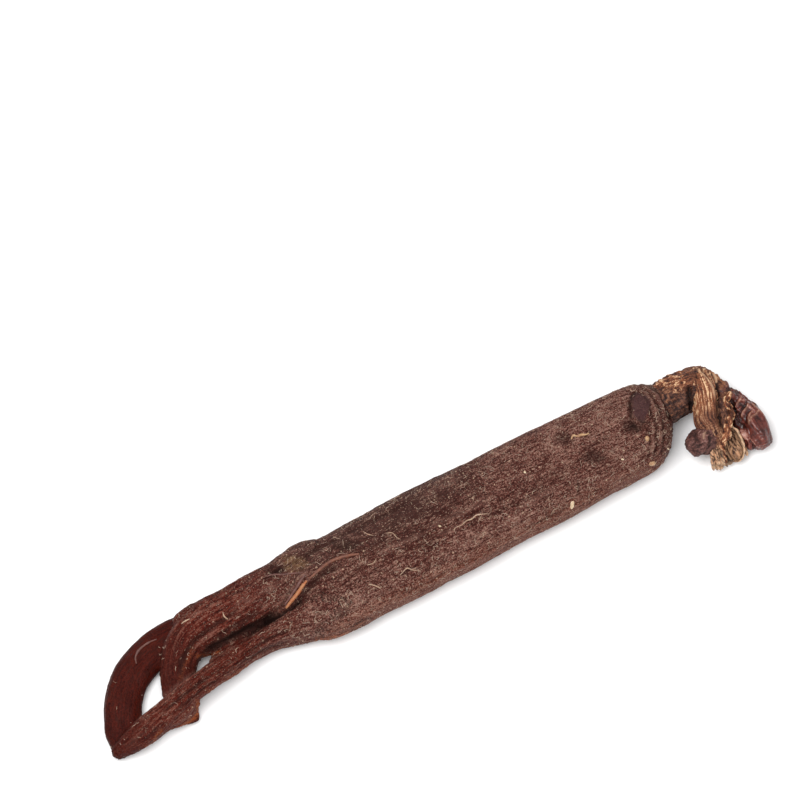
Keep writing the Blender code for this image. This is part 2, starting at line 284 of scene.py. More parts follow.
def spread_along(points, gap, closed=False):
    """Points every gap or so on a Catmull-Rom curve through the given ones."""
    if closed:
        padded = np.vstack([points[-1:], points, points[:2]])
    else:
        padded = np.vstack([2 * points[0] - points[1], points, 2 * points[-1] - points[-2]])
    spread = []
    for i in range(len(padded) - 3):
        a, b, c, d = padded[i : i + 4]
        count = max(1, round(np.linalg.norm(c[:3] - b[:3]) / gap))
        for u in np.arange(count) / count:
            bent = 2 * b + (c - a) * u + (2 * a - 5 * b + 4 * c - d) * u**2
            spread.append(0.5 * (bent + (3 * b - a - 3 * c + d) * u**3))
    if not closed:
        spread.append(points[-1])
    return np.array(spread)


def dome(end, inner, steps):
    """Rings that round a limb off beyond its last station."""
    out = end[:3] - inner[:3]
    out = out / np.linalg.norm(out)
    reach = 0.75 * min(end[3], end[4])
    rings = []
    for k in range(1, steps + 1):
        angle = 0.5 * math.pi * k / (steps + 0.35)
        ring = end.copy()
        ring[:3] += out * reach * math.sin(angle)
        ring[3:5] *= math.cos(angle)
        rings.append(ring)
    return rings


class Limb:
    """One limb's spine and sections."""

    def __init__(self, stations, squareness=LEG_SQUARENESS, gap=1.0, upright=False, domes=(1, 3)):
        points = np.array(stations, float)
        points[:, :3] = row_points(points[:, :3])
        rows = spread_along(points, gap)
        first = dome(rows[0], rows[1], domes[0])[::-1]
        last = dome(rows[-1], rows[-2], domes[1])
        self.rows = np.array([*first, *rows, *last])
        self.squareness = squareness
        self.centres = self.rows[:, :3]
        self.half = self.rows[:, 3:5]
        along = np.gradient(self.centres, axis=0)
        if upright:
            along[:, 1:] = 0
        along /= np.linalg.norm(along, axis=1, keepdims=True)
        side = np.cross((0, 0, 1), along)
        side /= np.linalg.norm(side, axis=1, keepdims=True)
        self.axes = np.stack([side, np.cross(along, side), along], axis=1)
        steps = np.linalg.norm(np.diff(self.centres, axis=0), axis=1)
        self.travel = np.concatenate([[0.0], np.cumsum(steps)])

    def section(self, angle):
        """A point of the unit section."""
        c, s = math.cos(angle), math.sin(angle)
        power = 2 / self.squareness
        return math.copysign(abs(c) ** power, c), math.copysign(abs(s) ** power, s)

    def place(self, index, angle, swell):
        """A point on the limb's skin, moved out by swell."""
        across, high = self.section(angle)
        half = self.half[index] + swell
        side, up, _ = self.axes[index]
        return self.centres[index] + side * across * half[0] + up * high * half[1]

    def read(self, points):
        """Distance along, offsets in section units, and depth (1 on the skin), per point."""
        nearest = np.empty(len(points), int)
        for start in range(0, len(points), BATCH):
            part = points[start : start + BATCH, None] - self.centres[None]
            nearest[start : start + BATCH] = (part**2).sum(axis=2).argmin(axis=1)
        offset = np.einsum("nij,nj->ni", self.axes[nearest], points - self.centres[nearest])
        unit = offset[:, :2] / self.half[nearest]
        depth = (np.abs(unit) ** self.squareness).sum(axis=1) ** (1 / self.squareness)
        return self.travel[nearest] + offset[:, 2], unit, depth, nearest


def extrude_ring(bm, ring):
    """Extrudes a closed ring of vertices and returns the new one in order."""
    edges = [bm.edges.get(pair) for pair in zip(ring, ring[1:] + ring[:1])]
    made = bmesh.ops.extrude_edge_only(bm, edges=edges)["geom"]
    new_edges = {e for e in made if isinstance(e, bmesh.types.BMEdge)}
    new_verts = {v for v in made if isinstance(v, bmesh.types.BMVert)}
    following = []
    for vert in ring:
        for edge in vert.link_edges:
            other = edge.other_vert(vert)
            if other in new_verts and edge not in new_edges:
                following.append(other)
    return following


def loft(bm, limb, sides, swell=None):
    """A closed tube through the limb's sections, swollen by swell(angle, distance)."""
    ring = bmesh.ops.create_circle(bm, segments=sides, radius=1.0)["verts"]
    bmesh.ops.contextual_create(bm, geom=ring)
    for index in range(len(limb.rows)):
        if index:
            ring = extrude_ring(bm, ring)
        for k, vert in enumerate(ring):
            angle = 2 * math.pi * k / sides
            extra = swell(angle, limb.travel[index]) if swell else 0.0
            extra *= min(1.0, limb.half[index].min() / 2.5)
            vert.co = limb.place(index, angle, extra)
    bmesh.ops.contextual_create(bm, geom=ring)


def tube(bm, points, radii, sides):
    """A thin closed tube through points, for a rootlet, a rim or a hair."""
    points = np.array(points, float)
    along = np.gradient(points, axis=0)
    ring = bmesh.ops.create_circle(bm, segments=sides, radius=1.0)["verts"]
    bmesh.ops.contextual_create(bm, geom=ring)
    side = Vector((0.31, 0.2, 0.93))
    for index, (point, way) in enumerate(zip(points, along)):
        if index:
            ring = extrude_ring(bm, ring)
        way = Vector(way).normalized()
        side = (side - way * side.dot(way)).normalized()
        up = way.cross(side)
        for k, vert in enumerate(ring):
            angle = 2 * math.pi * k / sides
            reach = side * math.cos(angle) + up * math.sin(angle)
            vert.co = Vector(point) + reach * radii[index]
    bmesh.ops.contextual_create(bm, geom=ring)
    bmesh.ops.recalc_face_normals(bm, faces=bm.faces)


def mesh_of(name, bm):
    mesh = bpy.data.meshes.new(name)
    bm.to_mesh(mesh)
    bm.free()
    return mesh


def place_object(name, data):
    made = bpy.data.objects.new(name, data)
    bpy.context.scene.collection.objects.link(made)
    return made


# ---- Noise and relief, worked on all of a mesh's points at once


def lattice_noise(points, seed):
    """Smooth noise between -1 and 1 with features about one unit wide."""
    points = np.asarray(points) + (seed * 17.37, seed * 5.11, seed * 9.73)
    base = np.floor(points).astype(np.int64)
    part = points - base
    fade = part * part * part * (part * (part * 6 - 15) + 10)
    total = np.zeros(len(points))
    for corner in itertools.product((0, 1), repeat=3):
        x, y, z = ((base + corner) * CELL_PRIMES).T
        mixed = x ^ y ^ z
        mixed = (mixed ^ (mixed >> 13)) * STIRRING_PRIME
        value = ((mixed ^ (mixed >> 16)) & 0xFFFF) / 32767.5 - 1
        total += value * np.where(corner, fade, 1 - fade).prod(axis=1)
    return total


def ridges(points, seed):
    """Sharp crests at 1 with rounded valleys below, from the same noise."""
    return 1 - 2.6 * np.abs(lattice_noise(points, seed))


def cords(points, seed):
    """Rounded crests with sharp furrows between them."""
    return 2.6 * np.abs(lattice_noise(points, seed)) - 1


def noise_pair(points, seed):
    """Two unlike noises side by side, to bend places in two directions."""
    return np.column_stack([lattice_noise(points, seed), lattice_noise(points, seed + 1)])


def smooth_step(values, low, high):
    t = np.clip((values - low) / (high - low), 0, 1)
    return t * t * (3 - 2 * t)


def points_of(mesh):
    points = np.empty(len(mesh.vertices) * 3, np.float32)
    mesh.vertices.foreach_get("co", points)
    return points.reshape(-1, 3).astype(float)


def normals_of(mesh):
    normals = np.empty(len(mesh.vertices) * 3, np.float32)
    mesh.vertex_normals.foreach_get("vector", normals)
    return normals.reshape(-1, 3).astype(float)


def set_points(mesh, points, lowest=0.0):
    """Moves a mesh's points, none of them to below the table."""
    points[:, 2] = np.maximum(points[:, 2], lowest)
    mesh.vertices.foreach_set("co", points.astype(np.float32).ravel())
    mesh.update()


def keep_values(mesh, **values):
    """Stores numbers, or vectors, per vertex for the material to read."""
    for name, kept in values.items():
        kept = np.asarray(kept, np.float32)
        kind, field = ("FLOAT", "value") if kept.ndim == 1 else ("FLOAT_VECTOR", "vector")
        mesh.attributes.new(name, kind, "POINT").data.foreach_set(field, kept.ravel())


def seen_plan(points):
    """Where each point appears on the table when looked at from the camera."""
    rise = points[:, 2:3] / TOWARDS_EYE[2]
    return (points - rise * TOWARDS_EYE)[:, :2]


def path_distance(places, path):
    """Distance from each plan place to a drawn path, and the share along it."""
    path = row_points(path)
    best = np.full(len(places), 1e9)
    share = np.zeros(len(places))
    for k, (a, b) in enumerate(zip(path, path[1:])):
        span = b - a
        t = np.clip(((places - a) @ span) / max(span @ span, 1e-9), 0, 1)
        gap = np.linalg.norm(places - a - t[:, None] * span, axis=1)
        closer = gap < best
        best[closer] = gap[closer]
        share[closer] = (k + t[closer]) / (len(path) - 1)
    return best, share


LEG_GAP = ((-30, 5.2), (-36.5, 4.6), (-44.6, 4.2), (-52.5, 4.4))
# Creases in the skin: half width, height, darkness (1 black, painted shade in the crease; -1 a
# pale mark), then the drawn path.
SKIN_CREASES = (
    (0.6, -0.6, 0.45, ((-16, 9.3), (-20, 9), (-24, 7.9), (-27.6, 6.2), (-30.5, 4.9))),
    (0.45, 0.32, -0.2, ((-22.4, 11.2), (-26.5, 9.8), (-31, 7.2), (-34, 5.9))),
    (0.32, -0.6, 0.9, ((-27, 5.9), (-30.5, 4.9), (-33.6, 4.6), (-37.5, 4.3))),
    (0.75, -0.5, 0.9, (
        (-33, 4.9), (-36.5, 4.6), (-40.5, 4.3), (-44.6, 4.2), (-48.8, 4.1), (-52.5, 4.4),
    )),
    (0.6, 0, 0.7, ((-38, 5), (-43, 5.1), (-47, 5.2), (-51, 5.1))),
    (0.5, -0.18, 0.15, ((9, 4.7), (13, 5.1), (17.5, 4.7), (25, 4.6), (33, 5.6))),
    (0.4, -0.22, 0.4, ((-6.3, 0.8), (-5.2, 1.1), (-4, 1.3), (-3.1, 0.5))),
    (0.3, -0.20, 0.5, ((37.3, 3.8), (37.1, 2), (36.2, 0.9), (36.4, -0.8))),
    (0.25, 0.15, -0.6, ((36.7, 3.6), (36.4, 1.8), (35.6, 0.9), (35.8, -0.6), (35, -1.5))),
    (0.45, -0.45, 0.8, (
        (58.2, 15.6), (57, 15.5), (56, 14.8), (54.9, 13.2), (54.2, 11.4), (53.9, 10),
    )),
    (0.26, -0.20, 0.45, ((57.6, 15.6), (58.7, 13.9), (58.9, 12), (58.4, 9.8), (57.4, 8.2))),
    (0.26, 0.20, -0.5, ((58.3, 15.9), (59.4, 14.3), (59.7, 12.2), (59.4, 9.9), (58.5, 7.6))),
    (0.24, -0.18, 0.45, ((59, 16), (60.1, 14.4), (60.5, 12.2), (60.3, 9.9), (59.6, 7.5))),
    (0.26, 0.20, -0.5, ((59.7, 15.9), (60.9, 14.2), (61.3, 12.1), (61.1, 9.8), (60.5, 7.6))),
    (0.22, -0.16, 0.35, ((60.4, 16), (61.5, 14.2), (61.9, 12.1), (61.7, 9.8), (61, 7.4))),
    (0.55, -0.60, 0.9, (
        (61.2, 16.2), (62.4, 14.4), (62.9, 12.3), (62.7, 9.8), (62.1, 7.6), (61.5, 6.2),
    )),
    (0.26, -0.20, 0.5, ((56, 0.2), (58.2, 3.4), (59.6, 6.2), (60.3, 8.6))),
    (0.26, 0.18, -0.45, ((55.2, 0.2), (57.3, 3.4), (58.9, 6.6), (59.5, 9.2))),
    (0.26, -0.18, 0.5, ((53.9, -0.3), (56.3, 3.2), (58, 6.6), (58.7, 9))),
    (0.24, 0.15, -0.4, ((53, 0), (55, 2.8), (57, 6.2), (57.8, 8.2))),
    (0.24, -0.15, 0.4, ((52, -0.4), (53.9, 2.2), (55.9, 5.6), (56.9, 7.9))),
    (0.22, -0.10, 0.3, ((50.4, -0.6), (52.2, 1.6), (53.8, 4.4))),
    (0.5, -0.13, 0.07, ((-14, -3.4), (0, -2.9), (16, -2.2), (34, -1.2), (48, -0.7))),
    (0.3, 0.08, -0.12, ((-16, -4), (0, -3.5), (16, -2.8), (34, -1.8), (48, -1.3))),
    (0.55, -0.35, 0.3, ((-34, 13.4), (-24, 14), (-10, 14.8), (8, 15.4))),
    (0.6, -0.40, 0.4, ((-38, 10.2), (-45, 9), (-51, 8), (-56, 5), (-58.6, 1.4))),
    (0.5, -0.35, 0.3, ((-36, 7.4), (-43, 6.4), (-49, 5.8))),
    (0.4, -0.30, 0.3, ((-30, 0.6), (-40, 0.4), (-50, -0.9), (-60, -2.5), (-70, -5.4))),
    (0.35, -0.25, 0.3, ((-34, -1.6), (-44, -1.5), (-54, -3), (-64, -5.6))),
    (0.4, 0.15, -0.25, ((-49.8, 2.2), (-53.3, 1.5), (-60.1, 0), (-66.7, -1.6), (-72, -3.8))),
)
# Thin, translucent edges of the skin: half width, strength, then the drawn path.
AMBER_EDGES = (
    (0.42, 1, (
        (-57.4, -5.4), (-57.8, -6.4), (-58.4, -7.6), (-59.9, -8.3), (-61.6, -8.8), (-63.4, -9.1),
        (-66, -9),
    )),
    (0.35, 0.6, ((-67.3, -7.9), (-69.2, -8.6), (-70.1, -9.6), (-71.9, -9.4))),
    (0.34, 0.8, ((-28.6, -4), (-27.6, -4.4), (-25.4, -5.2), (-23, -5.7), (-21.6, -5.8))),
    (0.40, 0.5, ((-36.5, -3), (-40.2, -2.9), (-45.6, -3.1), (-51.5, -4.2), (-54.3, -4.4))),
    (0.40, 0.22, ((-53.5, 5.8), (-54.6, 4.6), (-56.4, 3.3), (-58.6, 1.2))),
    (0.32, 0.7, ((-53, 4), (-51.8, 3.3), (-50.4, 2.8), (-48.6, 2.9))),
)
# Patches on the skin: centre, half sizes across and up the picture, seed.
EYE_SCAR = ((56.8, 12.2), (2.0, 3.15), 21)
EYE_SHADOW = ((54.8, 8.3), (2.0, 1.7), 22)
TAN_PATCH = ((-25.3, 13.6), (2.6, 1.9), 23)
DARK_PATCHES = (
    ((-29.6, 14.4), (2.2, 1.2), 24),
    ((38.9, 13.2), (1.9, 1.4), 25),
    ((43.0, 6.5), (2.4, 1.4), 26),
    ((-13.5, 12.4), (2.6, 1.3), 27),
    ((52.6, 9.4), (1.6, 1.6), 28),
)


def patch_depth(places, centre, half, seed, soft=0.15):
    """1 in the middle of a ragged oval patch, 0 outside it."""
    across = np.array([math.cos(PICTURE_TURN), math.sin(PICTURE_TURN)])
    upward = np.array([-across[1], across[0]])
    offset = places - row_points(centre)
    lobes = 0.22 * lattice_noise(np.column_stack([places / 1.3, np.zeros(len(places))]), seed)
    reach = np.hypot(offset @ across / half[0], offset @ upward / half[1]) + lobes
    return 1 - smooth_step(reach, 1 - soft, 1 + soft)


def press_creases(fine, creases, places, facing, ends):
    """Presses drawn creases into fine, tapered at both ends, and returns the painted shade in
    them, below zero where they are pale marks.
    """
    shade_and_marks = np.zeros(len(places))
    for half, height, dark, path in creases:
        gap, along = path_distance(places, path)
        taper = np.clip(ends * np.minimum(along, 1 - along), 0, 1) * facing
        depth = taper * np.exp(-((gap / half) ** 2))
        fine += height * depth
        shade_and_marks += dark * depth
    return shade_and_marks


def modified(mesh, *modifiers):
    """What modifiers, each a kind and its settings, make of a mesh."""
    holder = place_object(mesh.name, mesh)
    for kind, settings in modifiers:
        modifier = holder.modifiers.new(kind, kind)
        for name, value in settings.items():
            setattr(modifier, name, value)
    graph = bpy.context.evaluated_depsgraph_get()
    done = bpy.data.meshes.new_from_object(holder.evaluated_get(graph))
    bpy.data.objects.remove(holder)
    bpy.data.meshes.remove(mesh)
    return done


def fuse(name, bm, cell):
    """Fuses overlapping closed shells into one evenly meshed skin."""
    bmesh.ops.recalc_face_normals(bm, faces=bm.faces)
    settings = {"mode": "VOXEL", "voxel_size": cell, "adaptivity": 0.0}
    return modified(mesh_of(name, bm), ("REMESH", settings))


def relax(mesh, rounds):
    """Evens out the stair steps of the fused mesh."""
    bm = bmesh.new()
    bm.from_mesh(mesh)
    for _ in range(rounds):
        bmesh.ops.smooth_vert(
            bm, verts=bm.verts, factor=0.5, use_axis_x=True, use_axis_y=True, use_axis_z=True
        )
    bm.to_mesh(mesh)
    bm.free()


def finish_piece(name, mesh, material):
    """Turns a mesh in millimetres into a finished piece of the root."""
    mesh.transform(Matrix.Scale(MM, 4))
    mesh.name = name
    mesh.materials.clear()
    mesh.materials.append(material)
    mesh.polygons.foreach_set("use_smooth", [True] * len(mesh.polygons))
    piece = place_object(name, mesh)
    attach(piece, "root")
    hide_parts(NODE)


# ---- Materials


class Shade:
    """A value inside a material. Python's operators on it add Math nodes."""

    def __init__(self, paint, socket):
        self.paint = paint
        self.socket = socket

    def maths(self, operation, first, second):
        return self.paint.node("Math", {"operation": operation}, {0: first, 1: second})

    def __add__(self, other):
        return self.maths("ADD", self, other)

    def __sub__(self, other):
        return self.maths("SUBTRACT", self, other)

    def __rsub__(self, other):
        return self.maths("SUBTRACT", other, self)

    def __mul__(self, other):
        return self.maths("MULTIPLY", self, other)

    def __abs__(self):
        return self.maths("ABSOLUTE", self, 0.0)

    __radd__ = __add__
    __rmul__ = __mul__

    def rise(self, low, high):
        """0 below low, 1 above high, and smooth between."""
        settings = {"interpolation_type": "SMOOTHSTEP"}
        sockets = {"Value": self, "From Min": low, "From Max": high}
        return self.paint.node("MapRange", settings, sockets)


class Paint:
    """Builds one material's nodes."""

    def __init__(self, name, grained=False):
        self.material = bpy.data.materials.new(name)
        self.material.use_nodes = True
        self.tree = self.material.node_tree
        self.shader = self.tree.nodes["Principled BSDF"]
        place = self.node("TexCoord", output="Object")
        self.place = self.stretched(place, (1 / MM, 1 / MM, 1 / MM))
        self.flow = self.kept("flow", "Vector") if grained else None

    def node(self, kind, settings=None, sockets=None, output=0):
        """Adds a node: its settings first, then its sockets' values or links."""
        made = self.tree.nodes.new("ShaderNode" + kind)
        for name, value in (settings or {}).items():
            setattr(made, name, value)
        for name, value in (sockets or {}).items():
            self.feed(made.inputs[name], value)
        return Shade(self, made.outputs[output])

    def feed(self, socket, value):
        if isinstance(value, Shade):
            self.tree.links.new(value.socket, socket)
        else:
            socket.default_value = value

    def kept(self, name, output="Fac"):
        return self.node("Attribute", {"attribute_name": name}, output=output)

    def stretched(self, vector, scale):
        return self.node("VectorMath", {"operation": "MULTIPLY"}, {0: vector, 1: scale})

    def noise(self, vector, scale, detail, roughness=0.6, distortion=0.0):
        sockets = {
            "Vector": vector,
            "Scale": scale,
            "Detail": detail,
            "Roughness": roughness,
            "Distortion": distortion,
        }
        return self.node("TexNoise", sockets=sockets)

    def strands(self, length, width, *settings):
        """Noise drawn out along the piece's own grain."""
        return self.noise(self.stretched(self.flow, (length, width, width)), *settings)

    def specks(self, vector, scale, size):
        """1 in small round spots, one to a cell at most."""
        sockets = {"Vector": vector, "Scale": scale, "Randomness": 1.0}
        near = self.node("TexVoronoi", sockets=sockets, output="Distance")
        return 1 - near.rise(size * 0.5, size)

    def layers(self, colour, *coats):
        """Lays coats over a colour, each its share and its own colour."""
        for share, coat in coats:
            sockets = {0: share, 6: as_colour(colour), 7: as_colour(coat)}
            colour = self.node("Mix", {"data_type": "RGBA"}, sockets, output=2)
        return colour

    def bump(self, height, distance):
        """Raises the surface by height, in millimetres."""
        sockets = {"Height": height, "Distance": distance * MM, "Strength": 1.0}
        self.set("Normal", self.node("Bump", sockets=sockets))

    def glow(self, weight, radius, scale):
        """How much light sinks in, how far for each colour, and over what length."""
        self.set("Subsurface Weight", weight)
        self.set("Subsurface Radius", radius)
        self.set("Subsurface Scale", scale)

    def set(self, name, value):
        socket = self.shader.inputs[name]
        self.feed(socket, as_colour(value) if socket.type == "RGBA" else value)


def as_colour(value):
    if isinstance(value, Shade) or len(value) == 4:
        return value
    return (*value, 1.0)


def skin_material():
    """Dried skin: fine grit with dust, lengthwise streaks, curled pale threads and specks, and
    painted shade in its creases and furrows.
    """
    tone = colours()
    paint = Paint("steamed_skin", grained=True)
    place = paint.place
    names = ("relief", "leg", "clear", "grey", "dusty", "tan", "pale", "eye", "amber", "cleft")
    relief, leg, clear, grey, dusty, tan, pale, eye, amber, cleft = map(paint.kept, names)
    broad = paint.noise(place, 0.10, 3.0, 0.55, 0.5)
    blotch = paint.noise(place, 0.36, 3.0, 0.6, 0.4)
    streak = paint.strands(0.13, 1.5, 1.0, 4.0, 0.62, 0.25)
    fibre = paint.strands(0.5, 2.8, 1.0, 2.0, 0.6, 0.5)
    grit = paint.strands(0.55, 2.8, 1.0, 3.0, 0.68, 0.8)
    grain = paint.noise(place, 3.3, 1.0, 0.75)
    curl = paint.strands(1.0, 1.5, 1.25, 2.0, 0.5, 2.8)
    curl_line = 1 - abs(curl - 0.5).rise(0.007, 0.030)
    crowd = blotch.rise(0.40, 0.60) * 0.9 + 0.1
    threads = curl_line * grit.rise(0.44, 0.56) * crowd
    granules = paint.specks(place, 1.9, 0.36) * grit.rise(0.42, 0.54)
    drawn_out = paint.stretched(paint.flow, (0.55, 1.0, 1.0))
    pits = paint.specks(drawn_out, 1.7, 0.34) * grain.rise(0.40, 0.55)
    spots = paint.specks(place, 0.62, 0.16) * grain.rise(0.36, 0.52)

    # The plain body: grit from dark to dust colour over a slow change of tone, lighter on the
    # lower side as painted light.
    slow = (broad - 0.5) * 0.15 + (blotch - 0.5) * 0.05 - grey * 0.030 + dusty * 0.040
    tint = grit * 0.36 + grain * 0.64 + streak * 0.18 + slow + 0.008
    base = paint.layers(
        tone.deep,
        (tint.rise(0.53, 0.62), tone.skin),
        (tint.rise(0.62, 0.74), tone.dust),
        (grey * 0.30, (0.075, 0.041, 0.034)),
    )
    # The legs: red strands that turn clear and dark towards the tips.
    strand = fibre * 0.50 + streak * 0.45 + grain * 0.34 + slow * 0.4
    red = paint.layers(
        (0.022, 0.0020, 0.0010),
        (strand.rise(0.52, 0.66), paint.layers(tone.maroon, (clear, (0.054, 0.0058, 0.0026)))),
        (fibre.rise(0.50, 0.58) * clear * 0.75, (0.015, 0.0016, 0.0008)),
        (strand.rise(0.65, 0.78) * (0.60 - clear * 0.62), (0.235, 0.095, 0.066)),
    )
    dry = 0.66 - clear * 0.62 - leg * 0.26
    colour = paint.layers(
        base,
        (leg, red),
        # Crests painted lighter and furrow bottoms painted dark: painted light and shade from the
        # relief.
        (relief.rise(0.3, 1.0) * (0.20 - clear * 0.2), tone.dust),
        ((1 - relief.rise(-1.4, -0.3)) * 0.6, tone.deep),
        (tan * grit.rise(0.36, 0.52) * 0.9, (0.180, 0.100, 0.048)),
        (pits * 0.60, tone.deep),
        (threads * dry, (0.46, 0.300, 0.220)),
        (granules * dry, (0.42, 0.265, 0.200)),
        (spots * (dry + 0.15), tone.straw),
        (pale * grit.rise(0.35, 0.55), tone.dust),
        (eye * 0.85, (0.056, 0.024, 0.025)),
        (amber * grain.rise(0.32, 0.6), tone.amber),
        # Near-black painted shade in the creases and below the eye scar, with the real dark
        # patches.
        (cleft * 0.92, (0.010, 0.0035, 0.0025)),
    )
    paint.set("Base Color", colour)
    paint.set("Roughness", 0.70 - clear * 0.16 - streak * 0.08)
    paint.set("Specular IOR Level", 0.07)
    paint.glow(0.04, (0.8, 0.22, 0.12), 0.0007)
    height = grit * 0.60 + fibre * 0.30 + grain * 0.60 + streak * 0.20
    height = height + granules * 0.3 - pits * 0.3
    paint.bump(height * (1 - clear * 0.65), 0.52)
    return paint.material


def rhizome_material():
    """Fibrous golden bark on the stalk, with red glossy skin on the bulb, crests painted lighter
    and painted highlights on them.
    """
    tone = colours()
    paint = Paint("rhizome_bark", grained=True)
    names = ("relief", "gold", "bulb", "knob", "ribbed", "orange", "pale", "cleft")
    relief, gold, bulb, knob, ribbed, orange, pale, cleft = map(paint.kept, names)
    streak = paint.strands(0.25, 1.9, 1.0, 4.0, 0.62, 0.3)
    fibre = paint.strands(0.32, 3.4, 1.0, 2.0, 0.6, 0.3)
    grain = paint.noise(paint.place, 3.4, 2.0, 0.7)
    patchy = paint.noise(paint.place, 0.55, 3.0, 0.6)
    granular = paint.strands(0.5, 1.3, 1.5, 4.0, 0.72, 0.6)
    # Brightness follows the relief: the fibres' own light crests, with painted light on the crests
    # and painted shade in the grooves.
    crest = relief.rise(-0.9, 1.0)
    ribs = crest * 0.60 + (streak - 0.5) * 1.3 + (fibre - 0.5) * 1.9 + (grain - 0.5) * 0.7 + 0.16
    rough = crest * 0.34 + (granular - 0.5) * 3.4 + (grain - 0.5) * 1.3 + 0.28
    bright = ribs * ribbed + rough * (1 - ribbed) + (patchy - 0.5) * 0.7
    golden = paint.layers(
        (0.026, 0.007, 0.004),
        (bright.rise(0.00, 0.50), tone.bark),
        (bright.rise(0.40, 0.82), tone.gold),
        # Painted highlight on the brightest crests.
        (bright.rise(0.70, 1.02), (0.70, 0.46, 0.270)),
    )
    brown = paint.layers(
        (0.016, 0.006, 0.005),
        (bright.rise(0.10, 0.85), (0.11, 0.043, 0.026)),
        (bright.rise(0.75, 1.10) * 0.7, tone.gold),
    )
    smooth = crest * 0.42 + (streak - 0.5) * 1.3 + (patchy - 0.5) * 1.2
    smooth = smooth + (grain - 0.5) * 0.5 + 0.36
    red = paint.layers(
        (0.018, 0.003, 0.002),
        (smooth.rise(0.08, 0.78), (0.120, 0.024, 0.016)),
        # Painted highlight on the bulb.
        (smooth.rise(0.68, 1.02) * 0.8, (0.40, 0.200, 0.150)),
    )
    mauve = paint.layers(
        (0.030, 0.010, 0.008),
        (bright.rise(0.00, 0.84), (0.138, 0.056, 0.046)),
        # Painted highlight on the knob.
        (bright.rise(0.80, 1.15) * 0.8, (0.32, 0.185, 0.150)),
    )
    colour = paint.layers(
        brown,
        (gold, golden),
        (bulb, red),
        (orange * bright.rise(0.1, 0.7) * 0.8, (0.30, 0.120, 0.050)),
        (knob, mauve),
        (pale * (0.8 - bulb * 0.35), (0.52, 0.34, 0.21)),
        # Painted shade in the rhizome's creases.
        (cleft * 0.92, (0.012, 0.005, 0.004)),
    )
    paint.set("Base Color", colour)
    paint.set("Roughness", 0.58 - bulb * 0.28 + grain * 0.10)
    paint.set("Specular IOR Level", 0.22)
    paint.set("Coat Weight", bulb * 0.26)
    paint.set("Coat Roughness", 0.16)
    paint.glow(0.05, (0.8, 0.3, 0.14), 0.0006)
    height = fibre * 0.45 + streak * 0.30 + grain * 0.35
    paint.bump(height * (1 - bulb * 0.55), 0.36)
    return paint.material


def sheath_material():
    """Torn, papery sheath: straw with brown streaks, and a pale dry edge."""
    paint = Paint("torn_sheath", grained=True)
    rim = paint.kept("rim")
    streak = paint.strands(0.25, 2.2, 1.0, 4.0, 0.6, 0.2)
    grain = paint.noise(paint.place, 3.2, 3.0, 0.6)
    colour = paint.layers(
        (0.040, 0.015, 0.008),
        (streak.rise(0.40, 0.62), (0.52, 0.290, 0.165)),
        (paint.kept("inside") * 0.55, (0.060, 0.034, 0.018)),
        (rim * grain.rise(0.25, 0.55), (0.62, 0.42, 0.27)),
        (grain.rise(0.62, 0.75) * 0.4, colours().straw),
    )
    paint.set("Base Color", colour)
    paint.set("Roughness", 0.60 - streak * 0.12)
    paint.set("Specular IOR Level", 0.3)
    paint.glow(0.12, (0.9, 0.5, 0.25), 0.0008)
    paint.bump(streak * 0.6 + grain * 0.3, 0.30)
    return paint.material


def rootlet_material(name, light, dark):
    """A dried rootlet or fibre: a mottled, translucent strand."""
    paint = Paint(name)
    blotch = paint.noise(paint.place, 0.9, 3.0, 0.6)
    fine = paint.noise(paint.place, 5.0, 2.0, 0.6)
    share = (blotch * 0.7 + fine * 0.5).rise(0.40, 0.78)
    paint.set("Base Color", paint.layers(dark, (share, light)))
    paint.set("Roughness", 0.62 - fine * 0.15)
    paint.glow(0.12, (0.8, 0.35, 0.18), 0.0008)
    paint.bump(fine, 0.10)
    return paint.material


# ---- Pieces


def body_limbs():
    return {
        "body": Limb(BODY, BODY_SQUARENESS, upright=True, domes=(3, 1)),
        "long": Limb(LONG_LEG),
        "broad": Limb(BROAD_LEG, domes=(1, 2)),
        "loop": Limb(LOOP_LEG, domes=(2, 3)),
    }


def limb_values(points, limbs):
    """For each point: the limb whose skin is nearest, and its place on that limb."""
    best = np.full(len(points), 1e9)
    owner = np.zeros(len(points), int)
    flow = np.zeros((len(points), 3))
    share = np.zeros(len(points))
    for number, limb in enumerate(limbs.values()):
        travel, unit, depth, nearest = limb.read(points)
        gap = np.abs(depth - 1) * limb.half[nearest].min(axis=1)
        take = gap < best
        best[take] = gap[take]
        owner[take] = number
        typical = np.median(limb.half, axis=0)
        flow[take, 0] = travel[take] + 200 * number
        flow[take, 1:] = (unit * typical)[take]
        share[take] = (travel / limb.travel[-1])[take]
    return owner, flow, share


# Relief of each limb: lumps, furrow height, furrow width, fine height, fine width.
SKIN_RELIEF = (
    (0.30, 1.0, 1.9, 1.0, 0.95),
    (0.30, 1.1, 1.35, 1.2, 0.7),
    (0.34, 1.2, 1.5, 1.2, 0.8),
    (0.22, 0.7, 1.3, 0.4, 0.8),
)


def skin_relief(points, owner, flow):
    """Outward relief per point in millimetres: broad lumps, and the fine relief apart."""
    size = sizes()
    table = np.array(SKIN_RELIEF)[owner]
    lumps = table[:, 0] * lattice_noise(points / 12, 1)
    lumps += 0.5 * table[:, 0] * lattice_noise(points / 5, 2)
    across = flow[:, 1:] + 0.5 * noise_pair(points / 4, 3)
    wide = np.column_stack([flow[:, 0] / 15, across / table[:, 2:3]])
    thin = np.column_stack([flow[:, 0] / 5.5, across / table[:, 4:5]])
    furrow = size.furrow_height * table[:, 1] * cords(wide, 5)
    fine = size.grain_height * table[:, 3] * ridges(thin, 6)
    grain = 0.6 * size.grain_height * lattice_noise(points / 0.85, 7) * (0.4 + 0.6 * table[:, 3])
    return lumps, furrow + fine + grain


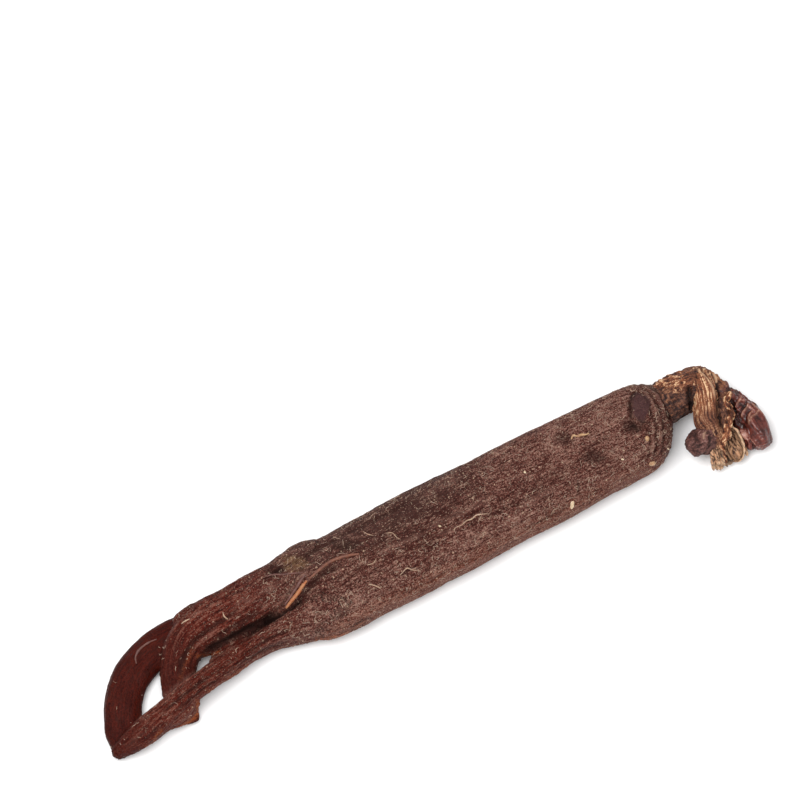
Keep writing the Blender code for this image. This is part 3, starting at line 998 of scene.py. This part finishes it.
def end_rings(points, owner):
    """Rings of wrinkles where the body rounds into the neck."""
    neck = row_points([(61.5, 8.3, 7.0)])[0]
    gap = np.linalg.norm((points - neck) * (1.25, 1, 0.8), axis=1)
    gap += 0.7 * lattice_noise(points / 3.1, 11)
    rings = 1 - 2 * np.abs(np.sin(math.pi * gap / 2.3))
    near = (1 - smooth_step(gap, 6.5, 11.5)) * (owner == 0)
    return 0.15 * rings * near, near


class GINSENG_OT_skin(bpy.types.Operator):
    """Fuse the body and legs into one wrinkled skin"""

    bl_idname = "ginseng.skin"
    bl_label = "Body and legs"

    def execute(self, context):
        limbs = body_limbs()
        bm = bmesh.new()
        for name, limb in limbs.items():
            loft(bm, limb, BODY_SIDES if name == "body" else LEG_SIDES)
        for stations in (FORK_WEB, LEG_SHOULDER, GAP_WEB, LEG_FOLD):
            loft(bm, Limb(stations), WEB_SIDES)
        mesh = fuse("skin", bm, sizes().skin_cell)
        relax(mesh, 3)
        points = points_of(mesh)
        set_points(mesh, points)
        owner, flow, share = limb_values(points, limbs)
        lumps, fine = skin_relief(points, owner, flow)
        rings, near_end = end_rings(points, owner)
        fine = fine * (1 - 0.5 * near_end) + rings
        places = seen_plan(points)
        normals = normals_of(mesh)
        facing = smooth_step(normals @ TOWARDS_EYE, 0.05, 0.35)
        ragged = places + 0.16 * noise_pair(points / 0.9, 71)
        # Painted shade along the creases, then the real dark patches; pale marks below zero.
        shade_and_marks = press_creases(fine, SKIN_CREASES, ragged, facing, 6)
        eye = patch_depth(places, *EYE_SCAR) * facing
        shadow = patch_depth(places, *EYE_SHADOW, 0.5) * facing
        tan = patch_depth(places, *TAN_PATCH, 0.3) * facing
        for patch in DARK_PATCHES:
            shade_and_marks += 0.6 * patch_depth(places, *patch, 0.5) * facing
        rough = lattice_noise(points / 0.7, 24)
        amber = np.zeros(len(points))
        for half, strength, path in AMBER_EDGES:
            gap, _ = path_distance(ragged, path)
            amber = np.maximum(amber, strength * np.exp(-((gap / half) ** 2)))
        fine += 0.22 * amber * rough
        fine = fine * (1 - 0.75 * eye) + 0.35 * eye + 0.2 * rough * shadow
        fine += tan * (0.15 + 0.16 * rough)
        end = smooth_step(share, 0.93, 0.99) * (owner == 2)
        fine = fine * (1 - 0.5 * end)
        moved = points + normals * np.minimum(lumps + fine, MOST_RELIEF)[:, None]
        set_points(mesh, moved)
        keep_values(
            mesh,
            flow=flow,
            relief=fine / (1.6 * sizes().furrow_height),
            eye=eye,
            tan=np.clip(tan * (0.65 + 0.5 * rough), 0, 1),
            # Painted shade in the creases and the eye scar's painted shadow, with the real dark
            # patches.
            cleft=np.clip(shade_and_marks + shadow * (0.45 - 0.5 * rough), 0, 1),
            pale=np.clip(-shade_and_marks, 0, 1),
        )
        self.keep_tints(mesh, moved, owner, share, amber)
        finish_piece("body_and_legs", mesh, skin_material())
        return {"FINISHED"}

    def keep_tints(self, mesh, points, owner, share, amber):
        """How red, how clear, how grey and how amber the skin is, and how much dust colour it has;
        the lower side is painted lighter and warmer as painted light, over the dust bloom.
        """
        x = points[:, 0]
        wander = 2 * lattice_noise(points / 6, 31)
        leg = (1 - smooth_step(x + wander, -46, -24)) * 0.95
        clear = np.where(owner == 3, 0.9, 0.0)
        clear = np.where(owner == 2, 0.8 * smooth_step(share, 0.58, 0.80), clear)
        clear = np.where(owner == 1, 0.7 * smooth_step(share, 0.78, 0.97), clear)
        body = smooth_step(x + wander, -42, -24)
        across = (points[:, 1] - 1.95 - 0.035 * x) / 10.3
        # A little amber along the lower edge: painted light on that side.
        low_edge = smooth_step(-across, 0.78, 1.0) * body * (owner == 0)
        right = smooth_step(x + 0.8 * wander, 4, 25)
        middle = np.exp(-(((x - 1) / 14) ** 2)) * smooth_step(across, -0.7, 0.0)
        upper = smooth_step(across + 0.06 * wander, -0.1, 0.6)
        # Dust colour: the real bloom at the right end, and on the lower side painted light.
        dusty = smooth_step(-across, 0.1, 0.95) + 0.9 * right * smooth_step(across, -0.5, 0.4)
        keep_values(
            mesh,
            leg=np.where(owner == 3, 1.0, leg),
            clear=clear,
            amber=np.maximum(amber, 0.14 * low_edge),
            dusty=(dusty - 1.25 * middle) * body,
            grey=upper * (1 - right) * body,
        )


# Each part of the rhizome: its stations, their spacing, the rings of its two end domes, its
# sides, then its ripple's height, waves round it, turn and waves along it.
CROWN = {
    "neck": (NECK_AND_BULB, 0.7, (1, 4), 48, (0.20, 6, 6, 0.54)),
    "stalk": (STALK, 0.5, (3, 3), 168, None),
    "knob": (KNOB, 0.6, (1, 4), 36, (0.22, 3, 0, 0.9)),
    "seam": (raised(SHEATH_SEAM), 0.35, (2, 2), 14, (1.0, 2, 0, 2.9)),
    "fold": (raised(SHEATH_FOLD), 0.5, (2, 2), 40, (0.18, 9, 0, 0.6)),
    "lobe": (raised(BULB_LOBE), 0.5, (2, 3), 20, (0.15, 4, 0, 1.1)),
}


def ripple(name, angle, travel):
    """How far a part of the rhizome swells at an angle, some way along it."""
    if name == "stalk":
        bent = angle + 0.07 * math.sin(3 * angle + 0.5 * travel)
        return sizes().rib_height * (abs(math.sin(14 * bent + 0.42 * travel)) - 0.6)
    height, around, turn, along = CROWN[name][4]
    return height * math.sin(around * angle + turn + along * travel)


# The bulb's thin orange edge.
BULB_RIM = ((78.9, 2), (79.7, 0.4), (80.1, -1.6), (80.1, -3.4))
# Creases in the rhizome, as in SKIN_CREASES.
CROWN_CREASES = (
    (0.50, -0.9, 1, ((68.5, 12), (68.1, 11), (67.5, 9.6), (67, 8), (66.4, 6.2))),
    (0.30, -0.7, 1, (
        (74.4, 9.9), (73.7, 8.8), (73, 7.1), (72.3, 5.6), (71.2, 3.6), (70.7, 1.7), (70.1, -0.5),
    )),
    (0.25, -0.4, 0.7, ((72.4, 14.3), (72.9, 12.4), (73.1, 10.4))),
    (0.25, 0.25, -0.8, ((74.4, 12.6), (74.3, 10.9), (74, 9.6))),
    (0.22, 0.25, -0.7, ((71.6, 15.2), (72.2, 13.4), (72.7, 11.4), (72.7, 9.2), (72, 6.6))),
    (0.55, -0.5, 0.9, ((75.3, 5), (74.5, 3.1), (74, 1.2), (74.2, -0.8), (74.9, -2.2))),
    (0.20, 0.18, -0.35, ((77.9, 5), (76.9, 4.2), (75.4, 3.4), (74.6, 2.6))),
    (0.26, -0.30, 0.7, ((78.3, 3.6), (77.2, 2.5), (76, 1.9), (75, 1))),
    (0.20, 0.20, -0.45, ((78.4, 3), (77.2, 1.9), (75.9, 1.3), (75.2, 0.2))),
    (0.28, -0.30, 0.6, ((78, 1.2), (76.8, 0.8), (75.9, 0.1), (75.4, -1.4))),
    (0.20, 0.20, -0.40, ((78.3, 0.7), (77.3, 0.4), (76.5, -0.4), (76, -2))),
    (0.22, 0.20, -0.4, ((79.4, 0.3), (78.4, -0.3), (77.2, -0.4), (76.3, -1.4))),
    (0.30, -0.35, 0.6, ((67.2, -0.2), (66.6, -1.6), (66.2, -3))),
    (0.22, 0.15, -0.4, ((67, 1), (66.2, 0.4), (65.7, -0.5))),
    (0.30, -0.30, 0.5, ((64.8, 2.4), (64.3, 0.8), (64.6, -0.6), (63.6, -2.2))),
)


class GINSENG_OT_crown(bpy.types.Operator):
    """Fuse the neck, stalk, knob, bulb and sheath seam into the rhizome"""

    bl_idname = "ginseng.crown"
    bl_label = "Rhizome"

    def execute(self, context):
        limbs = {}
        bm = bmesh.new()
        for name, (stations, gap, domes, sides, _) in CROWN.items():
            limbs[name] = Limb(stations, CROWN_SQUARENESS, gap, domes=domes)
            loft(bm, limbs[name], sides, partial(ripple, name))
        mesh = fuse("crown", bm, sizes().crown_cell)
        relax(mesh, 2)
        points = points_of(mesh)
        normals = normals_of(mesh)
        owner, flow, share = limb_values(points, limbs)
        neck, stalk, knob, seam, fold, lobe = (owner == k for k in range(6))
        bulb = smooth_step(share, 0.68, 0.76) * neck
        fine, lumps = self.bark_relief(points, flow, owner, bulb)
        places = seen_plan(points)
        facing = smooth_step(normals @ TOWARDS_EYE, 0.0, 0.4)
        # Painted shade along the rhizome's creases, pale marks below zero.
        shade_and_marks = press_creases(fine, CROWN_CREASES, places, facing, 7)
        set_points(mesh, points + normals * (lumps + fine)[:, None])
        crest = np.where(stalk, self.rib_crest(points, limbs["stalk"]), fine / 0.24)
        crest = np.where(seam, self.twist(points, limbs["seam"]), crest) + 0.2 * fold
        # The neck turns gold towards its upper side and dark brown below: painted light on the
        # upper side and painted shade on the lower, over its own golden bark.
        tilt = places[:, 1] + 0.45 * (places[:, 0] - 66) + 0.8 * lattice_noise(points / 1.2, 81)
        high = smooth_step(tilt, 8.9, 11.6)
        gold = np.where(neck, (0.06 + 0.94 * high) * (1 - smooth_step(share, 0.34, 0.44)), 0.0)
        outer = smooth_step(share, 0.36, 0.42) * (1 - smooth_step(share, 0.52, 0.58)) * neck
        low = smooth_step(-places[:, 1], -5.5, -0.5)
        gold = np.where(stalk, 0.86 - 0.5 * low, np.maximum(gold, 0.5 * outer))
        rim = np.exp(-((path_distance(places, BULB_RIM)[0] / 0.30) ** 2)) * neck
        keep_values(
            mesh,
            flow=flow,
            relief=crest,
            gold=np.where(seam, 1.0, np.where(fold, 0.15, gold)),
            ribbed=np.maximum(stalk | seam, np.maximum(0.7 * bulb, outer)),
            orange=np.maximum(outer * smooth_step(places[:, 0], 73.6, 75.0), rim),
            bulb=np.where(neck, smooth_step(share, 0.50, 0.66), 1.0 * lobe),
            knob=np.where(knob, smooth_step(share, 0.02, 0.15), 0.0),
            cleft=np.clip(shade_and_marks, 0, 1),
            pale=np.clip(-shade_and_marks, 0, 1),
        )
        finish_piece("rhizome", mesh, rhizome_material())
        return {"FINISHED"}

    def bark_relief(self, points, flow, owner, bulb):
        """Fine relief and broad lumps of each part of the rhizome."""
        _, stalk, knob, seam, fold, _ = (owner == k for k in range(6))
        lumps = 0.26 * lattice_noise(points / 2.6, 41) * (1 - 0.5 * bulb) * (1 - 0.5 * stalk)
        lumps += 0.22 * lattice_noise(points / 1.4, 40) * knob
        across = flow[:, 1:] + 0.35 * noise_pair(points / 1.9, 42)
        furrow = cords(np.column_stack([flow[:, 0] / 4.5, across / 1.0]), 44)
        thin = ridges(np.column_stack([flow[:, 0] / 3.2, across / 0.55]), 45)
        rings = cords(np.column_stack([flow[:, 0] / 0.95, across / 5.0]), 46)
        knobbly = lattice_noise(points / 0.55, 47)
        pits = lattice_noise(points / 0.95, 48)
        fine = 0.10 * furrow + 0.08 * thin + 0.15 * rings + 0.16 * knobbly
        fine = np.where(stalk, 0.07 * furrow + 0.06 * thin + 0.04 * knobbly, fine)
        fine = np.where(knob, 0.10 * pits + 0.16 * knobbly + 0.08 * rings, fine)
        fine = np.where(seam | fold, 0.14 * knobbly + 0.10 * pits + 0.05 * thin, fine)
        return fine * (1 - 0.85 * bulb) + bulb * (0.10 * furrow + 0.03 * knobbly), lumps

    def twist(self, points, seam):
        """1 on the twisted seam's strands and -1 between them."""
        travel, unit, _, _ = seam.read(points)
        strand = np.sin(2 * np.arctan2(unit[:, 1], unit[:, 0]) + 2.9 * travel)
        return 0.1 + 0.8 * strand + 0.7 * lattice_noise(points / 0.45, 49)

    def rib_crest(self, points, stalk):
        """1 on the stalk's ribs and -1 between them."""
        _, _, depth, nearest = stalk.read(points)
        height = (depth - 1) * stalk.half[nearest].min(axis=1)
        return np.clip(height / (0.5 * sizes().rib_height) + 0.3, -1.4, 1.4)


# The cup's rim as it appears from the camera, with its height.
CUP_RIM = (
    (71.2, -0.5, 6.4), (72.2, -0.3, 6.7), (72.9, -1.2, 6.7), (73.1, -2.8, 6.3), (73, -4.5, 5.6),
    (72.7, -6.1, 4.8), (71.9, -7.5, 4), (71, -8.2, 3.5), (70.1, -8.2, 3.3), (69.3, -7.6, 3.5),
    (68.9, -6.2, 4.2), (69, -4.6, 5), (69.5, -3, 5.7), (70.3, -1.5, 6.2),
)
FAN_EDGES = (
    ((66.8, -1, 6.9), (66, -2.8, 6), (65.4, -4.4, 4.9), (64.8, -6, 3.8), (64.3, -7.5, 2.9)),
    ((69.2, -2.2, 7.2), (68.8, -3.6, 6.4), (68.5, -5, 5.4), (68.2, -6.5, 4.3), (67.9, -7.9, 3.4)),
)
UNDERSIDE = (
    (68.8, -1.5, 5.4, 3, 2.8), (68.7, -4.5, 4.3, 3.5, 2.4), (68.8, -7, 3.3, 3.7, 1.9),
    (68.9, -8.8, 2.7, 3.4, 1.5),
)


class GINSENG_OT_flaps(bpy.types.Operator):
    """Build the torn, hollow sheath flaps at the end of the stalk"""

    bl_idname = "ginseng.flaps"
    bl_label = "Sheath flaps"

    def execute(self, context):
        material = sheath_material()
        self.wall("sheath_cup", *self.cup(), 0.34, material)
        self.wall("sheath_fan", *self.fan(), 0.30, material)
        self.wall("sheath_underside", *self.underside(), 0.40, material)
        self.rim(material)
        return {"FINISHED"}

    def cup(self):
        """A hollow bud scale, open towards the camera."""
        path = row_points(raised(spread_along(np.array(CUP_RIM), 0.28, closed=True)))
        middle = path.mean(axis=0)
        bm = bmesh.new()
        ring = bmesh.ops.create_circle(bm, segments=len(path), radius=1.0)["verts"]
        steps = 9
        for step in range(steps):
            if step:
                ring = extrude_ring(bm, ring)
            turn = 0.5 * math.pi * step / (steps - 0.4)
            for k, vert in enumerate(ring):
                place = middle + (path[k] - middle) * math.cos(turn)
                groove = 0.15 * math.sin(2 * math.pi * (place[0] + 0.12 * place[1]) / 0.62)
                sink = CUP_DEPTH * math.sin(turn) - groove * min(1, step / 2)
                tear = 0.22 * math.sin(k * 1.3) * math.sin(k * 0.37) if step == 0 else 0.0
                vert.co = place + np.array([0, 0, tear - sink])
        bmesh.ops.contextual_create(bm, geom=ring)
        return bm, path, middle

    def rim(self, material):
        """The cup's thick dry edge, rolled over on its outer side."""
        path = row_points(raised(spread_along(np.array(CUP_RIM)[1:9], 0.25)))
        wave = lattice_noise(path / 0.9, 53)
        path = path + 0.16 * wave[:, None]
        ends = np.linspace(0, 1, len(path))
        radii = 0.27 * (0.35 + 0.65 * np.sin(math.pi * np.clip(ends, 0.03, 0.97)) ** 0.6)
        bm = bmesh.new()
        tube(bm, path, radii * (1 + 0.4 * wave), ROOTLET_SIDES)
        mesh = mesh_of("sheath_rim", bm)
        flow = points_of(mesh)[:, [1, 0, 2]]
        none = np.zeros(len(flow))
        keep_values(mesh, flow=flow, rim=none + 0.55, inside=none)
        finish_piece("sheath_rim", mesh, material)

    def sheet(self, columns, rows, place):
        """A grid bent to place(across, along), both between 0 and 1."""
        bm = bmesh.new()
        made = bmesh.ops.create_grid(bm, x_segments=columns, y_segments=rows, size=0.5)
        for vert in made["verts"]:
            vert.co = place(vert.co.x + 0.5, vert.co.y + 0.5)
        return bm

    def fan(self):
        """Three pleats of torn sheath, ragged at the end."""
        left, right = (row_points(raised(spread_along(np.array(e), 0.02))) for e in FAN_EDGES)

        def place(across, along):
            a = left[round(along * (len(left) - 1))]
            b = right[round(along * (len(right) - 1))]
            pleat = 0.62 * abs(math.sin(3 * math.pi * across + 0.3)) + 0.08 * math.sin(41 * across)
            tear = 0.45 * math.sin(9 * across) + 0.25 * math.sin(23 * across + 1)
            frayed = np.array([0.1, -tear, 0.0]) * max(0.0, 12 * along - 11)
            return a * (1 - across) + b * across + (0, 0, pleat - 0.3) + frayed

        return self.sheet(34, 20, place), right[::18], left[-1]

    def underside(self):
        """The lower half of the sheath, which closes the stalk's end from below."""
        limb = Limb(UNDERSIDE, CROWN_SQUARENESS, 0.05, domes=(0, 0))
        last = len(limb.rows) - 1

        def place(across, along):
            angle = math.radians(165 + 210 * across)
            wavy = limb.place(round(along * last), angle, 0.14 * math.sin(50 * across))
            frayed = limb.axes[-1][2] * 0.4 * math.sin(31 * across) * max(0.0, 12 * along - 11)
            return wavy + frayed

        return self.sheet(39, 20, place), limb.centres[::8], limb.centres[-1]

    def wall(self, name, bm, spine, end, thickness, material):
        """Gives a torn sheet its thickness and the values its material reads."""
        bmesh.ops.recalc_face_normals(bm, faces=bm.faces)
        done = modified(
            mesh_of(name, bm),
            ("SOLIDIFY", {"thickness": thickness, "offset": 0.0}),
            ("SUBSURF", {"levels": 2, "render_levels": 2}),
        )
        points = points_of(done)
        gap = np.linalg.norm(points[:, None] - spine[None, ::2], axis=2).min(axis=1)
        lean = points[:, 0] - end[0] + 0.25 * (points[:, 1] - end[1])
        if name == "sheath_cup":
            rim = (0.6 - 0.6 * smooth_step(gap, 0.25, 0.7)) * smooth_step(lean, -0.9, 0.2)
        else:
            rim = 0.4 - 0.4 * smooth_step(np.abs(points[:, 1] - end[1]), 0.2, 1.0)
        relief = 0.06 * lattice_noise(points / 0.45, 51) + 0.05 * lattice_noise(points / 0.9, 52)
        points = points + normals_of(done) * relief[:, None]
        set_points(done, points, 0.05)
        inside = (1 - rim) * smooth_step(-gap, -2.2, -0.4)
        keep_values(done, flow=points[:, [1, 0, 2]], rim=rim, inside=inside)
        finish_piece(name, done, material)


def skin_tree():
    """A search tree over the finished skin, in millimetres."""
    bm = bmesh.new()
    bm.from_mesh(bpy.data.objects["body_and_legs"].data)
    bmesh.ops.scale(bm, verts=bm.verts, vec=(1 / MM, 1 / MM, 1 / MM))
    tree = BVHTree.FromBMesh(bm)
    bm.free()
    return tree


def seen_skin(tree, places, lift):
    """Points on the skin where the drawn places appear, raised by lift."""
    found = []
    eye = Vector(TOWARDS_EYE)
    for x, y in row_points(places):
        start = Vector((x, y, 0)) + eye * RAY_START
        spot, normal, _, _ = tree.ray_cast(start, -eye)
        if spot is not None:
            found.append(np.array(spot + normal * lift))
    return np.array(found)


# Rootlets and scabs on the skin: finish, radius share, raised share, then the drawn path.
ROOTLETS = (
    ("crease", "amber", 0.95, 0.10, (
        (-11.8, 9.3), (-13.3, 9.8), (-14.8, 10.2), (-16.1, 10.4), (-17.6, 10.5), (-19, 10.4),
        (-20.3, 10.1), (-22, 9.6), (-23.7, 9.1),
    )),
    ("fold", "honey", 1, 0.15, (
        (-24.5, 8.9), (-25.9, 8.2), (-27, 7.5), (-28.1, 6.9), (-29.5, 6.2), (-31.2, 5.3),
    )),
    ("twin", "dark", 0.75, 0.05, (
        (-24, 10.4), (-25.8, 9.4), (-27.1, 8.5), (-28.5, 7.7), (-29.7, 6.9), (-31.2, 6.1),
    )),
    ("loop", "dark", 0.62, 0.20, (
        (-65.5, 8.3), (-65, 9.7), (-63.8, 10.7), (-62.3, 11.2), (-60.7, 11.4), (-59.2, 11.3),
    )),
    ("thread", "pale", 0.34, 0.3, (
        (8.6, 5.1), (9.6, 5.5), (10.4, 5.3), (12.2, 5.8), (13.2, 5.6), (14.4, 6), (15.8, 5.6),
        (17, 5.1),
    )),
    ("hook", "pale", 0.33, 0.3, (
        (-6.2, 1.1), (-5, 1.6), (-4, 1.9), (-3.3, 1), (-2, 0.3),
    )),
    ("curl_a", "pale", 0.25, 0.3, ((-4.5, 10.9), (-3.3, 10.4), (-3, 9.1), (-2.4, 8.3))),
    ("curl_b", "pale", 0.25, 0.3, ((-8.8, 13.6), (-8.2, 12.5), (-7.2, 11.7))),
    ("curl_c", "pale", 0.25, 0.3, ((-11.4, 6.3), (-10.5, 6.1), (-9.6, 6.2), (-9, 6.8))),
    ("curl_d", "pale", 0.29, 0.3, ((-13.1, 2.3), (-12, 1.4), (-11.2, 0.3))),
    ("gold", "golden", 0.62, 0.3, (
        (40.4, 12.3), (41.2, 12.9), (41.9, 12.2), (42.7, 12.3), (43.6, 11.8), (44.4, 11.8),
    )),
    ("tan_line", "dark", 0.42, 0.1, (
        (-31.8, 13.6), (-30.2, 13.3), (-28.4, 12.4), (-27.1, 12), (-24.5, 10.9),
    )),
    ("fork_line", "pale", 0.34, 0.3, ((-52.8, 12.1), (-51.7, 12.3), (-50.6, 12.3))),
    ("fork_speck", "pale", 0.42, 0.3, ((-43.7, 10.5), (-43.9, 9.6), (-43.5, 8.6))),
    ("edge", "amber", 0.32, 0.1, (
        (-27.8, -4.1), (-25.6, -5.1), (-23.6, -5.4), (-20.4, -5.2), (-17, -4.8),
    )),
    ("scab_white", "scab", 1.15, -0.2, ((34.3, -0.4), (33.9, -1.1), (33.4, -1.9))),
    ("scab_tan", "golden", 1.05, -0.2, ((55.2, 5.7), (55, 5.1), (54.8, 4.6))),
    ("scab_square", "golden", 1.7, -0.4, ((52.8, 0), (53.4, -0.4), (54, -0.8))),
    ("speck_a", "scab", 0.55, 0, ((47.9, 3.5), (48.4, 3.1))),
    ("speck_b", "scab", 0.5, 0, ((28, 10.2), (28.3, 9.8))),
    ("speck_c", "scab", 0.5, 0, ((6.2, 7.5), (6.6, 7))),
    ("speck_d", "scab", 0.45, 0, ((57.9, 1.2), (58.2, 0.6))),
)


class GINSENG_OT_rootlets(bpy.types.Operator):
    """Lay the dried rootlets and scabs along the skin"""

    bl_idname = "ginseng.rootlets"
    bl_label = "Rootlets"

    def execute(self, context):
        tone = colours()
        tree = skin_tree()
        finishes = {
            "amber": ((0.20, 0.070, 0.034), (0.09, 0.026, 0.015)),
            "honey": ((0.36, 0.165, 0.070), tone.amber),
            "dark": ((0.15, 0.060, 0.045), (0.070, 0.022, 0.016)),
            "pale": (tone.straw, (0.22, 0.12, 0.075)),
            "scab": ((0.72, 0.58, 0.40), (0.36, 0.21, 0.11)),
            "golden": ((0.50, 0.31, 0.16), (0.24, 0.115, 0.055)),
        }
        for name, (light, dark) in finishes.items():
            finishes[name] = rootlet_material("dried_" + name, light, dark)
        for name, finish, share, lift, path in ROOTLETS:
            radius = sizes().rootlet_radius * share
            drawn = spread_along(np.array(path), 0.25)
            points = seen_skin(tree, drawn, radius * lift)
            for _ in range(2):
                points[1:-1] = (points[:-2] + 2 * points[1:-1] + points[2:]) / 4
            ends = np.linspace(0, 1, len(points))
            radii = radius * (0.30 + 0.70 * np.sin(math.pi * np.clip(ends, 0.04, 0.96)) ** 0.5)
            radii *= 1 + 0.28 * lattice_noise(points / 0.7, 61)
            bm = bmesh.new()
            tube(bm, points, radii, ROOTLET_SIDES)
            finish_piece("rootlet_" + name, mesh_of(name, bm), finishes[finish])
        return {"FINISHED"}


class GINSENG_OT_threads(bpy.types.Operator):
    """Scatter curled root hairs over the skin"""

    bl_idname = "ginseng.threads"
    bl_label = "Root hairs"

    def execute(self, context):
        tree = skin_tree()
        chance = np.random.default_rng(20)
        limbs = list(body_limbs().values())
        weights = np.array([0.88, 0.05, 0.06, 0.01])
        bm = bmesh.new()
        single = bpy.data.meshes.new("thread")
        for _ in range(sizes().thread_count):
            limb = limbs[chance.choice(4, p=weights)]
            index = chance.integers(2, len(limb.rows) - 2)
            start = Vector(limb.place(index, chance.uniform(0, 2 * math.pi), 0.8))
            bare = chance.uniform(-0.8, 0.6) > lattice_noise([start / 5], 33)[0]
            place = seen_plan(np.array([start]))
            in_gap = path_distance(place, LEG_GAP)[0][0] < HAIRLESS
            if bare or in_gap or patch_depth(place, *EYE_SCAR)[0] > 0.05:
                continue
            self.lay_thread(single, tree, start, Vector(limb.axes[index][2]), chance)
            bm.from_mesh(single)
        bpy.data.meshes.remove(single)
        pale = rootlet_material("hair_pale", (0.42, 0.29, 0.21), (0.20, 0.115, 0.082))
        finish_piece("root_hairs", mesh_of("threads", bm), pale)
        return {"FINISHED"}

    def lay_thread(self, single, tree, spot, way, chance):
        """One short hair that wanders over the skin."""
        spot, normal, _, _ = tree.find_nearest(spot)
        heading = way.copy()
        heading.rotate(Matrix.Rotation(chance.uniform(0, 2 * math.pi), 3, normal))
        bend = chance.normal(0, 0.5)
        step = 0.10 + 0.42 * chance.uniform(0, 1) ** 2
        radius = chance.uniform(0.032, 0.080)
        points = []
        for _ in range(HAIR_POINTS):
            points.append(spot + normal * radius * 0.4)
            points[-1].z = max(points[-1].z, radius)
            heading.rotate(Matrix.Rotation(bend + chance.normal(0, 0.7), 3, normal))
            heading = (heading - normal * heading.dot(normal)).normalized()
            spot, normal, _, _ = tree.find_nearest(spot + heading * step)
        bm = bmesh.new()
        tube(bm, points, radius * np.array([0.45, 0.9, 1.0, 0.9, 0.4]), HAIR_SIDES)
        bm.to_mesh(single)
        bm.free()


class GINSENG_OT_stage(bpy.types.Operator):
    """Lay the pale table, set the soft lights and place the camera"""

    bl_idname = "ginseng.stage"
    bl_label = "Table, light and camera"

    def execute(self, context):
        stage = context.scene.ginseng_stage
        self.lay_table(stage)
        self.add_light("key", stage.key, *KEY_LIGHT)
        self.add_light("fill", stage.fill, *FILL_LIGHT)
        self.fill_room(context, stage)
        self.place_camera(context, stage)
        context.scene.view_settings.view_transform = "Standard"
        return {"FINISHED"}

    def lay_table(self, stage):
        bm = bmesh.new()
        bmesh.ops.create_grid(bm, x_segments=2, y_segments=2, size=TABLE_HALF)
        mesh = mesh_of("table", bm)
        paint = Paint("pale_table")
        mottle = paint.noise(paint.place, 0.02, 2.0)
        paint.set("Base Color", paint.layers(stage.floor, (mottle * 0.04, (0.90, 0.90, 0.90))))
        paint.set("Roughness", 0.9)
        mesh.materials.append(paint.material)
        place_object("table", mesh)

    def look_from(self, thing, place, way):
        """Puts a light or the camera at a place, looking against way."""
        thing.location = place
        thing.rotation_euler = (-way).to_track_quat("-Z", "Y").to_euler()

    def add_light(self, name, watts, place, size):
        light = bpy.data.lights.new(name, "AREA")
        light.energy = watts
        light.shape = "DISK"
        light.size = size
        self.look_from(place_object(name, light), place, Vector(place))

    def fill_room(self, context, stage):
        world = bpy.data.worlds.new("room")
        world.use_nodes = True
        sky = world.node_tree.nodes["Background"]
        sky.inputs["Color"].default_value = (1.0, 1.0, 1.0, 1.0)
        sky.inputs["Strength"].default_value = stage.sky
        context.scene.world = world

    def place_camera(self, context, stage):
        lens = bpy.data.cameras.new("camera")
        lens.lens = stage.lens
        lens.sensor_width = 36.0
        lens.clip_start = 0.05
        lens.clip_end = 20.0
        turn, rise = stage.azimuth, stage.elevation
        back = Vector(
            (math.cos(rise) * math.sin(turn), -math.cos(rise) * math.cos(turn), math.sin(rise))
        )
        aim = Vector((*row_points(PICTURE_CENTRE), 0.0)) * MM
        far = stage.frame_width / lens.sensor_width * lens.lens * MM
        camera = place_object("camera", lens)
        self.look_from(camera, aim + back * far, back)
        context.scene.camera = camera


class GINSENG_PT_panel(bpy.types.Panel):
    """Lists the root's pieces and their settings"""

    bl_label = "Red ginseng root"
    bl_idname = "GINSENG_PT_panel"
    bl_space_type = "VIEW_3D"
    bl_region_type = "UI"
    bl_category = "Ginseng"

    def draw(self, context):
        for step in STEPS:
            self.layout.operator(step.bl_idname)
        for group in (sizes(), colours(), context.scene.ginseng_stage):
            for name in group.bl_rna.properties.keys():
                if name not in ("rna_type", "name"):
                    self.layout.prop(group, name)


STEPS = (
    GINSENG_OT_skin,
    GINSENG_OT_crown,
    GINSENG_OT_flaps,
    GINSENG_OT_rootlets,
    GINSENG_OT_threads,
    GINSENG_OT_stage,
)
GROUPS = (GinsengSizes, GinsengColours, GinsengStage)


def register():
    for kind in (*GROUPS, *STEPS, GINSENG_PT_panel):
        bpy.utils.register_class(kind)
    bpy.types.Scene.ginseng_sizes = PointerProperty(type=GinsengSizes)
    bpy.types.Scene.ginseng_colours = PointerProperty(type=GinsengColours)
    bpy.types.Scene.ginseng_stage = PointerProperty(type=GinsengStage)


def unregister():
    del bpy.types.Scene.ginseng_sizes
    del bpy.types.Scene.ginseng_colours
    del bpy.types.Scene.ginseng_stage
    for kind in reversed((*GROUPS, *STEPS, GINSENG_PT_panel)):
        bpy.utils.unregister_class(kind)


def main():
    register()
    bpy.ops.ginseng.skin()
    bpy.ops.ginseng.crown()
    bpy.ops.ginseng.flaps()
    bpy.ops.ginseng.rootlets()
    bpy.ops.ginseng.threads()
    bpy.ops.ginseng.stage()


if __name__ == "__main__":
    main()
